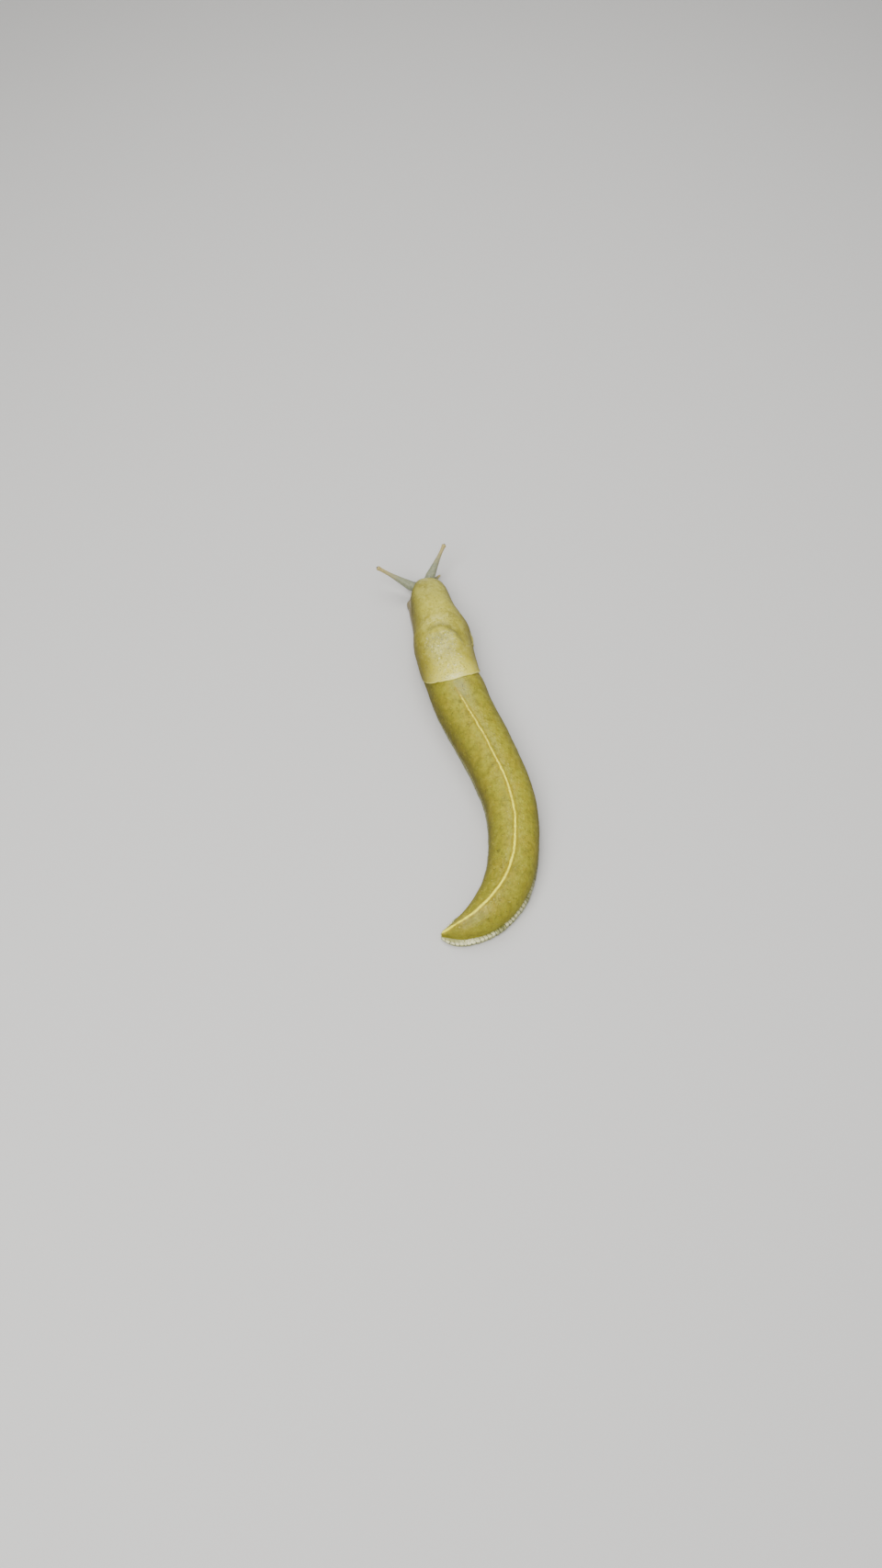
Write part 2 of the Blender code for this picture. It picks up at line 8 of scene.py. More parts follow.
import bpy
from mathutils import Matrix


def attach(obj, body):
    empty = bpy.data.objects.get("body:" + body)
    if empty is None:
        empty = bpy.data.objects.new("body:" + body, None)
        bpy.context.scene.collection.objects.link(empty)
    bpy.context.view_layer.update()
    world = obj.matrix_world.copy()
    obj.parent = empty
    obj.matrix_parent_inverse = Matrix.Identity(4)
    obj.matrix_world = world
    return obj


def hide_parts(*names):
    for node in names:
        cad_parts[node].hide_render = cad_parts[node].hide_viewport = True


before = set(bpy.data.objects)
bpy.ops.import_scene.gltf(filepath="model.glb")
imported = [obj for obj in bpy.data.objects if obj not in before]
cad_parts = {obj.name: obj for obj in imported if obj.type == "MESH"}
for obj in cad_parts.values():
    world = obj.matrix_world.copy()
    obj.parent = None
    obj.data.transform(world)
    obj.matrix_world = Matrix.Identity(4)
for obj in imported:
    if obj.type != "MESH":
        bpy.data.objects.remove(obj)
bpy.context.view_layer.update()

import bpy
import numpy as np
from mathutils import Vector

bl_info = {
    "name": "Banana slug",
    "version": (1, 0, 0),
    "blender": (4, 5, 0),
    "location": "View3D > Sidebar > Slug",
    "description": "Builds the skin, foot, mantle, feelers and eyes of a still banana slug",
    "category": "Add Mesh",
}

MM = 0.001

# Millimetres along and across the skin that its UV map spans, and the triangles of a mesh without caps.
UV_LENGTH, UV_WIDTH = 200.0, 100.0
NO_FANS = np.zeros((0, 3), dtype=int)

# Middle line of the body: where it starts, and which way it runs at each distance (degrees from +X).
PATH_START = (-10.46, 73.54)
HEADING = ((0, -83.7), (20, -78.5), (50, -76.0), (75, -65.0), (95, -69.1),
           (115, -85.3), (135, -104.1), (150, -132.7), (168, -174.3))
PATH_STEP = 0.1
PATH_LENGTH = 172.0

# Outline of the body: half width, top, height where it is widest, and half width at the foot, by distance.
HALF_WIDTH = ((5.3, 3.9), (7, 5.1), (9, 5.9), (12.4, 6.95), (17, 7.65), (21, 8.3), (25, 9.0),
              (33, 10.6), (38, 11.0), (45, 10.9), (60, 10.4), (75, 9.9), (105, 9.1),
              (130, 8.35), (145, 7.5), (150, 6.9), (155, 5.9), (160, 4.5), (164, 3.0), (168, 1.0))
TOP = ((5.3, 9.4), (9, 11.4), (14, 12.8), (22, 14.6), (33, 16.4), (45, 17.2), (60, 16.7),
       (75, 15.6), (105, 14.6), (130, 13.3), (150, 11.0), (160, 8.0), (166, 4.7), (168, 3.0))
WIDEST = ((5.3, 7.6), (9, 7.5), (14, 6.9), (22, 6.6), (45, 7.1), (75, 6.5), (105, 6.2),
          (130, 5.7), (150, 4.8), (160, 3.7), (168, 2.1))
BASE_WIDTH = ((5.3, 4.0), (9, 6.1), (12, 6.8), (16, 7.3), (25, 8.0), (38, 9.3), (50, 9.3), (75, 8.6),
              (105, 7.9), (130, 7.3), (145, 6.5), (150, 5.9), (155, 5.0), (160, 3.9), (168, 0.9))

# Swellings: height, distance, angle from the top to the right, and spread along and round.
SWELLINGS = ((1.0, 29.0, 80.0, 6.0, 38.0), (-0.9, 44.0, 88.0, 7.5, 42.0), (-0.6, 52.5, 88.0, 5.0, 42.0),
             (0.85, 12.0, -75.0, 6.0, 40.0))

# Pale ridge along the back.
KEEL_ROLL = ((50, -18.5), (75, -8.4), (100, -5.0), (125, 0.0), (150, -9.0), (168, -13.0))
KEEL_HEIGHT = ((58, 0.0), (64, 0.4), (120, 0.5), (155, 0.6), (168, 0.2))
KEEL_WIDTH = 0.75
KEEL_PALE = ((59.0, -1.0), (62.0, -0.3), (65.5, 0.1), (72, 0.22), (100, 0.31), (125, 0.43), (150, 0.5),
             (161, 0.44), (164.5, 0.34), (166.5, 0.62), (168, 0.5))

# Foot: a flat sole with a fringe of upright bars round its edge.
FOOT_FRONT = 3.6
FOOT_END = 169.2
FOOT_HALF_WIDTH = ((3.6, 2.0), (4.4, 4.1), (6, 5.8), (9, 7.4), (13, 8.1), (25, 8.9), (50, 9.7),
                   (75, 9.4), (105, 8.9), (130, 8.7), (142, 8.4), (150, 7.6), (156, 6.6),
                   (160, 5.7), (164, 4.6), (167, 3.0), (169.2, 1.0))
FOOT_SHIFT = ((3.6, -1.3), (12, -1.0), (25, -0.4), (50, 0.0), (148, 0.0), (158, 0.4), (168, 0.4))
FOOT_TOP = ((3.6, 1.5), (6, 2.5), (12, 2.9), (135, 2.9), (155, 2.5), (164, 1.9), (169.2, 1.2))
FOOT_GAP = 0.3

# Mantle: a flap over the front third of the back, with a breathing hole on its right.
MANTLE_FRONT = 5.3
MANTLE_FRONT_ROUND = 1.6
MANTLE_REAR = 59.0
MANTLE_REAR_ROUND = 8.0
MANTLE_THICK = ((5.3, 0.9), (12, 1.3), (60, 1.3))
MANTLE_EDGE_THICK = 0.6
MANTLE_EDGE_TAPER = 9.0
MANTLE_PROUD = ((5.3, 0.0), (25, 0.05), (45, 0.35), (60, 0.4))
MANTLE_REACH = ((5.3, 90.0), (8, 91.0), (14, 106.0), (22, 122.0), (30, 130.0), (60, 130.0))
MANTLE_STEP = (0.3, 3.4)
BREATH_PLACE = 37.5
BREATH_ANGLE = 88.0

# Head: half width, top, widest height, half width at the base, underside, and lean to the left.
HEAD_HALF_WIDTH = ((2.6, 0.9), (3.3, 2.9), (5.3, 4.2), (9, 4.7), (12, 5.0), (16, 6.0))
HEAD_TOP = ((2.6, 5.5), (3.3, 6.5), (5.3, 7.5), (7, 8.2), (9, 9.3), (16, 11.6))
HEAD_MIDDLE = ((2.6, 4.6), (5.3, 4.9), (9, 5.2), (16, 6.8))
HEAD_BASE = ((2.6, 0.6), (3.3, 2.2), (5.3, 3.8), (7, 5.0), (9, 5.9), (12, 6.7), (16, 7.3))
HEAD_UNDER = ((2.6, 3.8), (3.3, 3.2), (4.2, 2.9), (5.3, 2.8), (7, 3.0), (12, 3.2), (16, 3.2))
HEAD_SHIFT = ((2.6, -1.3), (5.3, -1.0), (8, -0.55), (11, -0.1), (16, 0.0))
HEAD_BLEND = (13.0, 16.5)

# Snout, from the back of the mouth round the lips to the face. Row by row: distance, half width, top,
# widest height, half width at the base and underside.
SNOUT_END = 3.3
SNOUT = (
    (3.9, 0.04, 4.40, 4.10, 0.02, 3.80),
    (3.3, 0.09, 4.75, 4.10, 0.05, 3.50),
    (2.75, 0.14, 4.95, 4.10, 0.08, 3.38),
    (2.42, 0.45, 5.12, 4.12, 0.25, 3.22),
    (2.30, 0.90, 5.28, 4.15, 0.50, 3.08),
    (2.50, 1.35, 5.45, 4.25, 0.85, 2.98),
    (2.80, 1.70, 5.70, 4.40, 1.25, 3.05),
    (2.82, 2.30, 6.05, 4.55, 1.75, 3.12),
    (3.30, 2.90, 6.50, 4.70, 2.20, 3.20),
)
FACE_ROW = len(SNOUT) - 1

# Feelers: root on the head (distance, side, height), azimuth and rise in degrees, and length.
STALKS = {
    "left": {"root": (6.8, -4.3, 4.6), "azimuth": 162.0, "rise": 23.5, "length": 17.8},
    "right": {"root": (4.9, -0.2, 5.6), "azimuth": 62.7, "rise": 27.2, "length": 16.4},
}
FEELERS = {
    "left": {"root": (4.0, -3.6, 3.9), "azimuth": 160.0, "rise": -14.0, "length": 5.2},
    "right": {"root": (3.9, 1.3, 3.9), "azimuth": 49.0, "rise": -3.0, "length": 5.7},
}
EYE_RADIUS = 0.42
EYE_SUNK = 0.1


def along(table, at):
    """Smooth curve without overshoot through a table's points (distance, value)."""
    x, y = np.array(table, dtype=float).T
    width = np.diff(x)
    slope = np.diff(y) / width
    before, after = slope[:-1], slope[1:]
    weight_a = 2 * width[1:] + width[:-1]
    weight_b = width[1:] + 2 * width[:-1]
    same_way = before * after > 0
    safe_before = np.where(same_way, before, 1.0)
    safe_after = np.where(same_way, after, 1.0)
    mean = (weight_a + weight_b) / (weight_a / safe_before + weight_b / safe_after)
    tangent = np.concatenate([[slope[0]], np.where(same_way, mean, 0.0), [slope[-1]]])
    at = np.clip(at, x[0], x[-1])
    k = np.clip(np.searchsorted(x, at) - 1, 0, len(width) - 1)
    t = (at - x[k]) / width[k]
    start = (1 + 2 * t) * (1 - t) ** 2 * y[k] + t * (1 - t) ** 2 * width[k] * tangent[k]
    end = t * t * (3 - 2 * t) * y[k + 1] + t * t * (t - 1) * width[k] * tangent[k + 1]
    return start + end


def trace_path():
    """Distances along the middle line, and its x and y there, by adding up small steps."""
    s = np.arange(0.0, PATH_LENGTH, PATH_STEP)
    heading = np.radians(along(HEADING, s))
    x = PATH_START[0] + np.cumsum(np.cos(heading)) * PATH_STEP
    y = PATH_START[1] + np.cumsum(np.sin(heading)) * PATH_STEP
    return s, x, y


PATH = trace_path()


def place(s, side, up):
    """Point at a distance along the body, a distance to its right, and a height."""
    s = np.asarray(s, dtype=float)
    heading = np.radians(along(HEADING, s))
    x = np.interp(s, PATH[0], PATH[1]) - np.sin(heading) * side
    y = np.interp(s, PATH[0], PATH[2]) + np.cos(heading) * side
    return np.stack(np.broadcast_arrays(x, y, up), axis=-1)


def smooth_step(value, low, high):
    """0 below low, 1 above high, and a smooth rise between them."""
    t = np.clip((value - low) / (high - low), 0, 1)
    return t * t * (3 - 2 * t)


def bell(value, width):
    """1 at 0, falling off as a bell on both sides."""
    return np.exp(-((value / width) ** 2))


def belly(s):
    """Height of the trunk's underside."""
    return along(FOOT_TOP, s) + FOOT_GAP


def swelling(s, angle):
    """How far the right side stands out or in: a sum of bells in distance and angle."""
    total = 0.0
    for height, distance, turn, spread, spread_round in SWELLINGS:
        total = total + height * bell(s - distance, spread) * bell(angle - turn, spread_round)
    return total


def outline(angle, half, top, middle, base, under, shift):
    """Side and height of a cross-section: half an ellipse above the widest height, and a quarter of
    another ellipse on each side from there down to the base."""
    turn = np.radians(angle)
    below = np.clip(np.abs(turn) - np.pi / 2, 0, np.pi / 2)
    is_upper = np.abs(turn) <= np.pi / 2
    lower_side = np.sign(turn) * (base + (half - base) * np.cos(below)) + shift * np.sin(below)
    side = np.where(is_upper, half * np.sin(turn), lower_side)
    lower_up = middle - (middle - under) * np.sin(below)
    up = np.where(is_upper, middle + (top - middle) * np.cos(turn), lower_up)
    return side, up


def section(s, angle, inset):
    """Side and height of the body's outline, drawn in by inset."""
    inset = inset - swelling(s, angle)
    half = along(HALF_WIDTH, s) - inset
    top = along(TOP, s) - inset
    return outline(angle, half, top, along(WIDEST, s), along(BASE_WIDTH, s), belly(s), along(FOOT_SHIFT, s))


def mantle_rear(angle):
    """Distance at which the mantle's free rear edge lies, furthest back on top."""
    return MANTLE_REAR - MANTLE_REAR_ROUND * np.clip(np.abs(angle) / 90, 0, 1.25) ** 2


def mantle_thickness(s, angle):
    """Thickness of the mantle, which thins towards its free rear edge."""
    full = along(MANTLE_THICK, s)
    inside = smooth_step(mantle_rear(angle) - s, 0.0, MANTLE_EDGE_TAPER)
    return MANTLE_EDGE_THICK + (full - MANTLE_EDGE_THICK) * inside


def spaced(start, end, steps):
    """Places from start to end whose spacing follows a table of (place, step): 1 / step is added up,
    and even shares of the sum are read back as places."""
    fine = np.linspace(start, end, 4001)
    middles = (fine[1:] + fine[:-1]) / 2
    count = np.concatenate([[0], np.cumsum(np.diff(fine) / along(steps, middles))])
    return np.interp(np.linspace(0, count[-1], int(round(count[-1])) + 1), count, fine)


def grid_uv(u, v):
    """UV map of a grid from its u and v."""
    return np.stack(np.broadcast_arrays(u, v), axis=-1)


def chance(i, j, seed):
    """Repeatable number from 0 to 1 for each pair of whole numbers: the fraction of a large sine."""
    wave = np.sin(i * 127.1 + j * 311.7 + seed * 74.7) * 43758.5453
    return wave - np.floor(wave)


def drift(u, v, seed):
    """Smooth noise from -1 to 1: random values at whole u and v, with smooth steps between them."""
    i, j = np.floor(u), np.floor(v)
    a, b = smooth_step(u - i, 0, 1), smooth_step(v - j, 0, 1)
    low = chance(i, j, seed) * (1 - a) + chance(i + 1, j, seed) * a
    high = chance(i, j + 1, seed) * (1 - a) + chance(i + 1, j + 1, seed) * a
    return 2 * (low * (1 - b) + high * b) - 1


def window(value, start, full, fade, end):
    """Rises smoothly from 0 to 1 between start and full, and falls back between fade and end."""
    return smooth_step(value, start, full) * (1 - smooth_step(value, fade, end))


def columns_at(table, row):
    """Smooth curves through a table's columns, read at numbers of rows."""
    return [along(np.stack([np.arange(len(table)), column], axis=-1), row) for column in np.array(table).T]


def waves(s, arc, table):
    """Sum of smooth noises over a surface: height times drift, for rows of height, length, width, seed."""
    return sum(height * drift(s / length, arc / width, seed) for height, length, width, seed in table)


def ripples(s, table):
    """Sum of smooth noises along a line: height times drift, for rows of height, length and seed."""
    return sum(height * drift(s / length, 0.5, seed) for height, length, seed in table)


def cells(u, v, seed, jitter):
    """Bumps set like bricks, each moved a little at random: distance to the nearest centre, how much
    further the next one is, and a random number for each bump."""
    u, v = np.broadcast_arrays(u, v)
    i, j = np.floor(u), np.floor(v)
    nearest = np.full(u.shape, np.inf)
    second = nearest
    pick = np.zeros(u.shape)
    for dj in (-1, 0, 1):
        for di in (-2, -1, 0, 1):
            ci, cj = i + di, j + dj
            x = ci + 0.5 + 0.5 * np.mod(cj, 2) + jitter * (chance(ci, cj, seed) - 0.5)
            y = cj + 0.5 + jitter * (chance(ci, cj, seed + 1) - 0.5)
            distance = np.hypot(u - x, v - y)
            closer = distance < nearest
            second = np.where(closer, nearest, np.minimum(second, distance))
            pick = np.where(closer, chance(ci, cj, seed + 2), pick)
            nearest = np.where(closer, distance, nearest)
    return nearest, second - nearest, pick


def outward(points, closed):
    """Unit normals of a grid of points: the cross product of its differences along and across."""
    down = np.gradient(points, axis=0)
    if closed:
        over = (np.roll(points, -1, axis=1) - np.roll(points, 1, axis=1)) / 2
    else:
        over = np.gradient(points, axis=1)
    normal = np.cross(down, over)
    return normal / np.maximum(np.linalg.norm(normal, axis=-1, keepdims=True), 1e-9)


def length_across(points, zero):
    """Length along each row of a grid, counted from column zero."""
    steps = np.linalg.norm(np.diff(points, axis=1), axis=-1)
    length = np.concatenate([np.zeros((len(points), 1)), np.cumsum(steps, axis=1)], axis=1)
    return length - length[:, zero:zero + 1]


def grid_quads(index):
    """Quads of a grid of point numbers, facing out where rows run back and columns run right."""
    return np.stack([index[:-1, :-1], index[1:, :-1], index[1:, 1:], index[:-1, 1:]], axis=-1).reshape(-1, 4)


def new_piece(name, points, quads, fans, uv, masks, material):
    """Object from points in millimetres, quads, triangles, a UV map and masks for each point."""
    mesh = bpy.data.meshes.new(name)
    mesh.from_pydata((points * MM).tolist(), [], quads.tolist() + fans.tolist())
    corners = np.zeros(len(mesh.loops), dtype=np.int32)
    mesh.loops.foreach_get("vertex_index", corners)
    layer = mesh.uv_layers.new(name="skin")
    layer.data.foreach_set("uv", uv[corners].astype(np.float32).ravel())
    for mask, values in masks.items():
        attribute = mesh.attributes.new(mask, "FLOAT", "POINT")
        attribute.data.foreach_set("value", values.astype(np.float32))
    mesh.shade_smooth()
    mesh.materials.append(material)
    piece = bpy.data.objects.new(name, mesh)
    bpy.context.scene.collection.objects.link(piece)
    return piece


def tube_piece(name, points, uv, masks, material):
    """Piece from a grid closed across, whose first and last rows are closed with a fan."""
    rows, columns = points.shape[:2]
    index = np.arange(rows * columns).reshape(rows, columns)
    quads = grid_quads(np.concatenate([index, index[:, :1]], axis=1))
    first = np.stack([index[0], np.roll(index[0], -1), np.full(columns, index.size)], axis=-1)
    last = np.stack([np.roll(index[-1], -1), index[-1], np.full(columns, index.size + 1)], axis=-1)

    def with_ends(values):
        flat = values.reshape(rows * columns, -1)
        return np.concatenate([flat, values[:1].reshape(columns, -1).mean(axis=0, keepdims=True),
                               values[-1:].reshape(columns, -1).mean(axis=0, keepdims=True)])

    masks = {mask: with_ends(np.broadcast_to(value, (rows, columns)))[:, 0] for mask, value in masks.items()}
    fans = np.concatenate([first, last])
    return new_piece(name, with_ends(points), quads, fans, with_ends(uv), masks, material)


def stand_in(piece, slot, *nodes):
    """Makes a piece ride on the body and replace nodes. Its slot is not used."""
    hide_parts(*nodes)
    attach(piece, "root")


# Body: its end, the spacing of its rows, its columns, the belly that closes it inside the foot, and the
# rows that round off the tail.
BODY_END = 168.0
BODY_STEP = ((3.3, 0.22), (10, 0.3), (14, 0.5), (40, 0.5), (45, 0.28), (168, 0.28))
SNOUT_ROWS = 24
BODY_COLUMNS = 159
KEEL_CROWDING = 0.35
BELLY_COLUMNS = 8
BELLY_MARGIN = 0.04
BELLY_SUNK = 1.0
TAIL_CAP = 1.0
TAIL_CAP_ROWS = 8
TAIL_CAP_POINT = 0.04
SKIN_GAP = 0.04
MANTLE_SHADE = (4.0, 22.0)

# Relief of the back: noises as rows of height, length, width and seed, or height, length and seed.
KEEL_WANDER = ((0.22, 6.5, 81), (0.1, 1.9, 82))
KEEL_BEADS = ((0.22, 0.8, 83),)
BODY_FOLDS = ((0.13, 5.5, 8.0, 21), (0.06, 2.2, 3.5, 22))
BUMP_WANDER = ((0.25, 5.0, 5.0, 3),)
BUMP_TURN = 24.0
BUMP_SCATTER = 0.7
BUMP_SMALLEST = 0.65
BUMP_RISE = (0.0, 0.4)
BUMP_GROOVE = (0.03, 0.22)
GRAIN_SIZE = (0.55, 0.5)
GRAIN_SCATTER = 0.8
GRAIN_HEIGHT = 0.035
GRAIN_LEVEL = 0.3
FURROW_ABOVE, FURROW_WIDTH, FURROW_DEPTH = 0.95, 0.2, 0.1
NECK_CALM, KEEL_CALM, KEEL_CALM_WIDTH = 0.6, 0.8, 0.9

# Stretches over which relief and colours come or go: distances along, distances across or angles.
NECK = (8, 20)
FURROW_START = (12, 20)
HEAD_GRAIN_END = (12, 22)
KEEL_START = (58, 66)
KEEL_ROLL_END = (10, 110)
TAIL_CALM = (164, 168)
# REAR: stretch towards the tail over which the painted shade is spread more evenly round the body
REAR = (112, 150)
HEAD_COLOUR_END = (10, 17)
FACE_COLOUR_END = (4.5, 10.5)
MOUTH_END = (1.0, 3.2)
# RIGHT: stretch across the back towards the right side, where the tail's painted shade is lighter
RIGHT = (-4, 9)
# LOW_TURN: angles round the body over which the skin counts as low on the sides, where painted shade darkens
# it and some patches fade
LOW_TURN = (5, 95)
# Place and spread of a painted grey sheen right of the keel just behind the mantle
GREY_SHEEN_PLACE, GREY_SHEEN_SPREAD = (62.5, 1.8), (5.0, 3.2)
DARK_SPOTS = ((67.9, -1.2), (68.3, -11.2), (130.8, -5.4))
DARK_SPOT_STRETCH = 1.3
FAR_OFF = 9.0


def body_columns():
    """Angles round the body, closer together on the keel: 180 (c - k sin(pi c) / pi) for even c."""
    c = np.linspace(-1, 1, BODY_COLUMNS)
    return 180 * (c - KEEL_CROWDING * np.sin(np.pi * c) / np.pi)


def keel_turn(s, angle):
    """Angle with the keel's roll added, fully on top and not at all below the sides."""
    return angle + along(KEEL_ROLL, s) * (1 - smooth_step(np.abs(angle), *KEEL_ROLL_END))


def covered(s, angle):
    """1 where the mantle lies on the body, falling to 0 behind its rear edge and below its side."""
    behind = smooth_step(s - mantle_rear(angle), *MANTLE_STEP)
    below = smooth_step(np.abs(angle) - along(MANTLE_REACH, s), *MANTLE_SHADE)
    return (1 - behind) * (1 - below)


def trunk_outline(s, angle):
    """Side and height of the trunk, drawn in under the mantle and raised along the keel in beads."""
    under = mantle_thickness(s, angle) - along(MANTLE_PROUD, s) + SKIN_GAP
    side, up = section(s, angle, under * covered(s, angle))
    turn = np.radians(angle)
    apart = np.radians(angle - along(KEEL_ROLL, s)) * along(HALF_WIDTH, s) - ripples(s, KEEL_WANDER)
    ridge = along(KEEL_HEIGHT, s) * (1 + ripples(s, KEEL_BEADS)) * bell(apart, KEEL_WIDTH)
    return side + ridge * np.sin(turn), up + ridge * np.cos(turn)


def head_outline(s, angle):
    """Side and height of the head, whose upper part leans to the left."""
    lean = along(HEAD_SHIFT, s)
    side, up = outline(angle, along(HEAD_HALF_WIDTH, s), along(HEAD_TOP, s), along(HEAD_MIDDLE, s),
                       along(HEAD_BASE, s), along(HEAD_UNDER, s), along(FOOT_SHIFT, s) - lean)
    return side + lean, up


def distance_of(row):
    """Distance along the body of a row of body_surface, counting the snout as its front."""
    return SNOUT_END + np.maximum(row - FACE_ROW, 0)


def body_surface(row, angle):
    """Point of the body's smooth surface. Rows from 0 run round the snout, from the back of the mouth
    to the face, and then straight on along the body, one row a millimetre."""
    s = distance_of(row)
    head_side, head_up = head_outline(s, angle)
    trunk_side, trunk_up = trunk_outline(s, angle)
    share = smooth_step(s, *HEAD_BLEND)
    side = head_side * (1 - share) + trunk_side * share
    up = head_up * (1 - share) + trunk_up * share
    snout_s, *snout = columns_at(SNOUT, row)
    lean = along(HEAD_SHIFT, SNOUT_END)
    shift = (along(FOOT_SHIFT, SNOUT_END) - lean) * np.clip(row / FACE_ROW, 0, 1)
    snout_side, snout_up = outline(angle, *snout, shift)
    on_snout = row < FACE_ROW
    side = np.where(on_snout, snout_side + lean, side)
    up = np.where(on_snout, snout_up, up)
    return place(np.where(on_snout, snout_s, s), side, up)


def back_bumps(s, arc, look):
    """Height of the back's low bumps in millimetres, and a mask of the grooves between them. They are
    long cells in rows that run back and down on both sides."""
    turn = np.radians(BUMP_TURN)
    out = np.abs(arc)
    row_along = s * np.cos(turn) + out * np.sin(turn)
    row_across = out * np.cos(turn) - s * np.sin(turn)
    row_across = row_across + waves(row_along, row_across, BUMP_WANDER)
    length, width = look.bump_length / MM, look.bump_width / MM
    _, apart, pick = cells(row_along / length, row_across / width, 11, BUMP_SCATTER)
    size = BUMP_SMALLEST + (1 - BUMP_SMALLEST) * pick
    height = look.bump_height / MM * smooth_step(apart, *BUMP_RISE) * size
    return height, 1 - smooth_step(apart, *BUMP_GROOVE)


def body_relief(rows, s, arc, above_foot, look):
    """Height of the bumps, folds and furrow of the back and the grain of the head, and a mask of the
    grooves. The face, the neck, the keel and the tail's end stay calmer."""
    bumps, groove = back_bumps(s, arc, look)
    on_face = smooth_step(rows, FACE_ROW - 1, FACE_ROW + 1)
    fade = on_face * (1 - NECK_CALM * (1 - smooth_step(s, *NECK)))
    calm = 1 - KEEL_CALM * bell(arc, KEEL_CALM_WIDTH) * smooth_step(s, *KEEL_START)
    folds = waves(s, arc, BODY_FOLDS)
    furrow = FURROW_DEPTH * bell(above_foot - FURROW_ABOVE, FURROW_WIDTH) * smooth_step(s, *FURROW_START)
    _, apart, _ = cells(s / GRAIN_SIZE[0], arc / GRAIN_SIZE[1], 31, GRAIN_SCATTER)
    grain = GRAIN_HEIGHT * (apart - GRAIN_LEVEL) * (1 - smooth_step(s, *HEAD_GRAIN_END)) * on_face
    height = ((bumps * calm + folds) * fade - furrow) * (1 - smooth_step(s, *TAIL_CALM)) + grain
    return height, groove * calm * fade


def tail_cap(last):
    """Rows that round off the tail: the last row drawn in to a low point by cos t and moved back along
    the body by sin t."""
    low = (last[0] + last[BODY_COLUMNS - 1]) / 2
    back = place(BODY_END, 0.0, 0.0) - place(BODY_END - 1, 0.0, 0.0)
    turn = np.linspace(0, np.pi / 2, TAIL_CAP_ROWS + 1)[1:, None, None]
    return low + (last - low) * np.maximum(np.cos(turn), TAIL_CAP_POINT) + TAIL_CAP * np.sin(turn) * back


def make_body(look):
    """Head, trunk and tail in one skin: the smooth surface, moved out along its normals by its relief,
    with a belly sunk in the foot and a rounded end."""
    s = spaced(SNOUT_END, BODY_END, BODY_STEP)
    snout_rows = np.linspace(0, FACE_ROW, SNOUT_ROWS + 1)[:-1]
    rows = np.concatenate([snout_rows, FACE_ROW + s - SNOUT_END])[:, None]
    s = distance_of(rows)
    angle = keel_turn(s, body_columns())
    points = body_surface(rows, angle)
    arc = length_across(points, BODY_COLUMNS // 2)
    height, groove = body_relief(rows, s, arc, points[..., 2] - belly(s), look)
    points = points + outward(points, False) * height[..., None]
    share = BELLY_MARGIN + (1 - 2 * BELLY_MARGIN) * (np.arange(BELLY_COLUMNS) + 0.5) / BELLY_COLUMNS
    under = points[:, -1:] + (points[:, :1] - points[:, -1:]) * share[:, None]
    under[..., 2] -= BELLY_SUNK * smooth_step(rows, FACE_ROW, FACE_ROW + 1.5)

    def with_belly(values, below):
        return np.concatenate([values, np.broadcast_to(below, (len(rows), BELLY_COLUMNS))], axis=1)

    def with_tail(values):
        return np.concatenate([values, np.repeat(values[-1:], TAIL_CAP_ROWS, axis=0)])

    keel = along(KEEL_PALE, s) - np.abs(arc - ripples(s, KEEL_WANDER))
    # Painted grey sheen beside the keel behind the mantle
    painted_grey_sheen = bell(s - GREY_SHEEN_PLACE[0], GREY_SHEEN_SPREAD[0]) * bell(arc - GREY_SHEEN_PLACE[1], GREY_SHEEN_SPREAD[1])
    spots = [np.hypot((s - spot_s) / DARK_SPOT_STRETCH, arc - spot_arc) for spot_s, spot_arc in DARK_SPOTS]
    masks = {
        "keel": with_belly(keel, -FAR_OFF),
        "painted_grey_sheen": with_belly(painted_grey_sheen, 0.0),
        # right: share of the right side, where the tail's painted shade is lighter
        "right": with_belly(smooth_step(arc, *RIGHT), 0.0),
        "spot": with_belly(np.min(spots, axis=0), FAR_OFF),
        "groove": with_belly(groove, 0.0),
        # low: share of the painted shade low on the sides, which also fades patches and roughens the skin
        # there
        "low": with_belly(smooth_step(np.abs(angle), *LOW_TURN), 1.0),
        "rear": smooth_step(s, *REAR),
        "front": 1 - smooth_step(s, *HEAD_COLOUR_END),
        "face": 1 - smooth_step(s, *FACE_COLOUR_END),
        "mouth": 1 - smooth_step(rows, *MOUTH_END),
    }
    uv = grid_uv(s / UV_LENGTH, with_belly(arc, arc[:, -1:]) / UV_WIDTH + 0.5)
    points = np.concatenate([points, under], axis=1)
    points = np.concatenate([points, tail_cap(points[-1])])
    masks = {name: with_tail(mask) for name, mask in masks.items()}
    body = tube_piece("body_skin", points, with_tail(uv), masks, back_finish(look))
    stand_in(body, "body_skin", "head", "trunk_front", "trunk_middle", "trunk_rear", "tail")


# Foot edge from the sole up: share of the foot's height, how far it draws in, share of the bars, and
# share of the grooves that part them from above.
FOOT_EDGE = ((0.0, 0.9, 0.0, 0.0), (0.06, 0.45, 0.3, 0.0), (0.2, 0.12, 0.9, 0.0), (0.45, 0.0, 1.0, 0.0),
             (0.75, 0.12, 1.0, 0.2), (0.93, 0.4, 0.8, 0.7), (1.0, 0.95, 0.35, 1.0), (1.0, 2.2, 0.0, 0.5))
FOOT_EDGE_TOP = 2.9
FOOT_EDGE_LEAST = 0.35
FOOT_LEAST_WIDTH = 0.15
FOOT_EDGE_COLUMNS = 24
FOOT_INNER_COLUMNS = 4
FOOT_STEP = ((3.6, 0.05), (5.0, 0.1), (8.0, 0.13), (167, 0.12), (169.2, 0.04))
FOOT_TRIM = ((3.6, 0.0), (6.5, -0.8), (9.3, -0.7), (10.8, 0.35), (12.4, 0.1), (14.0, -0.3),
             (22.0, -0.2), (34.0, 0.0))
EDGE_WAVES = (0.1, 4.3)
FOOT_UV = 50.0

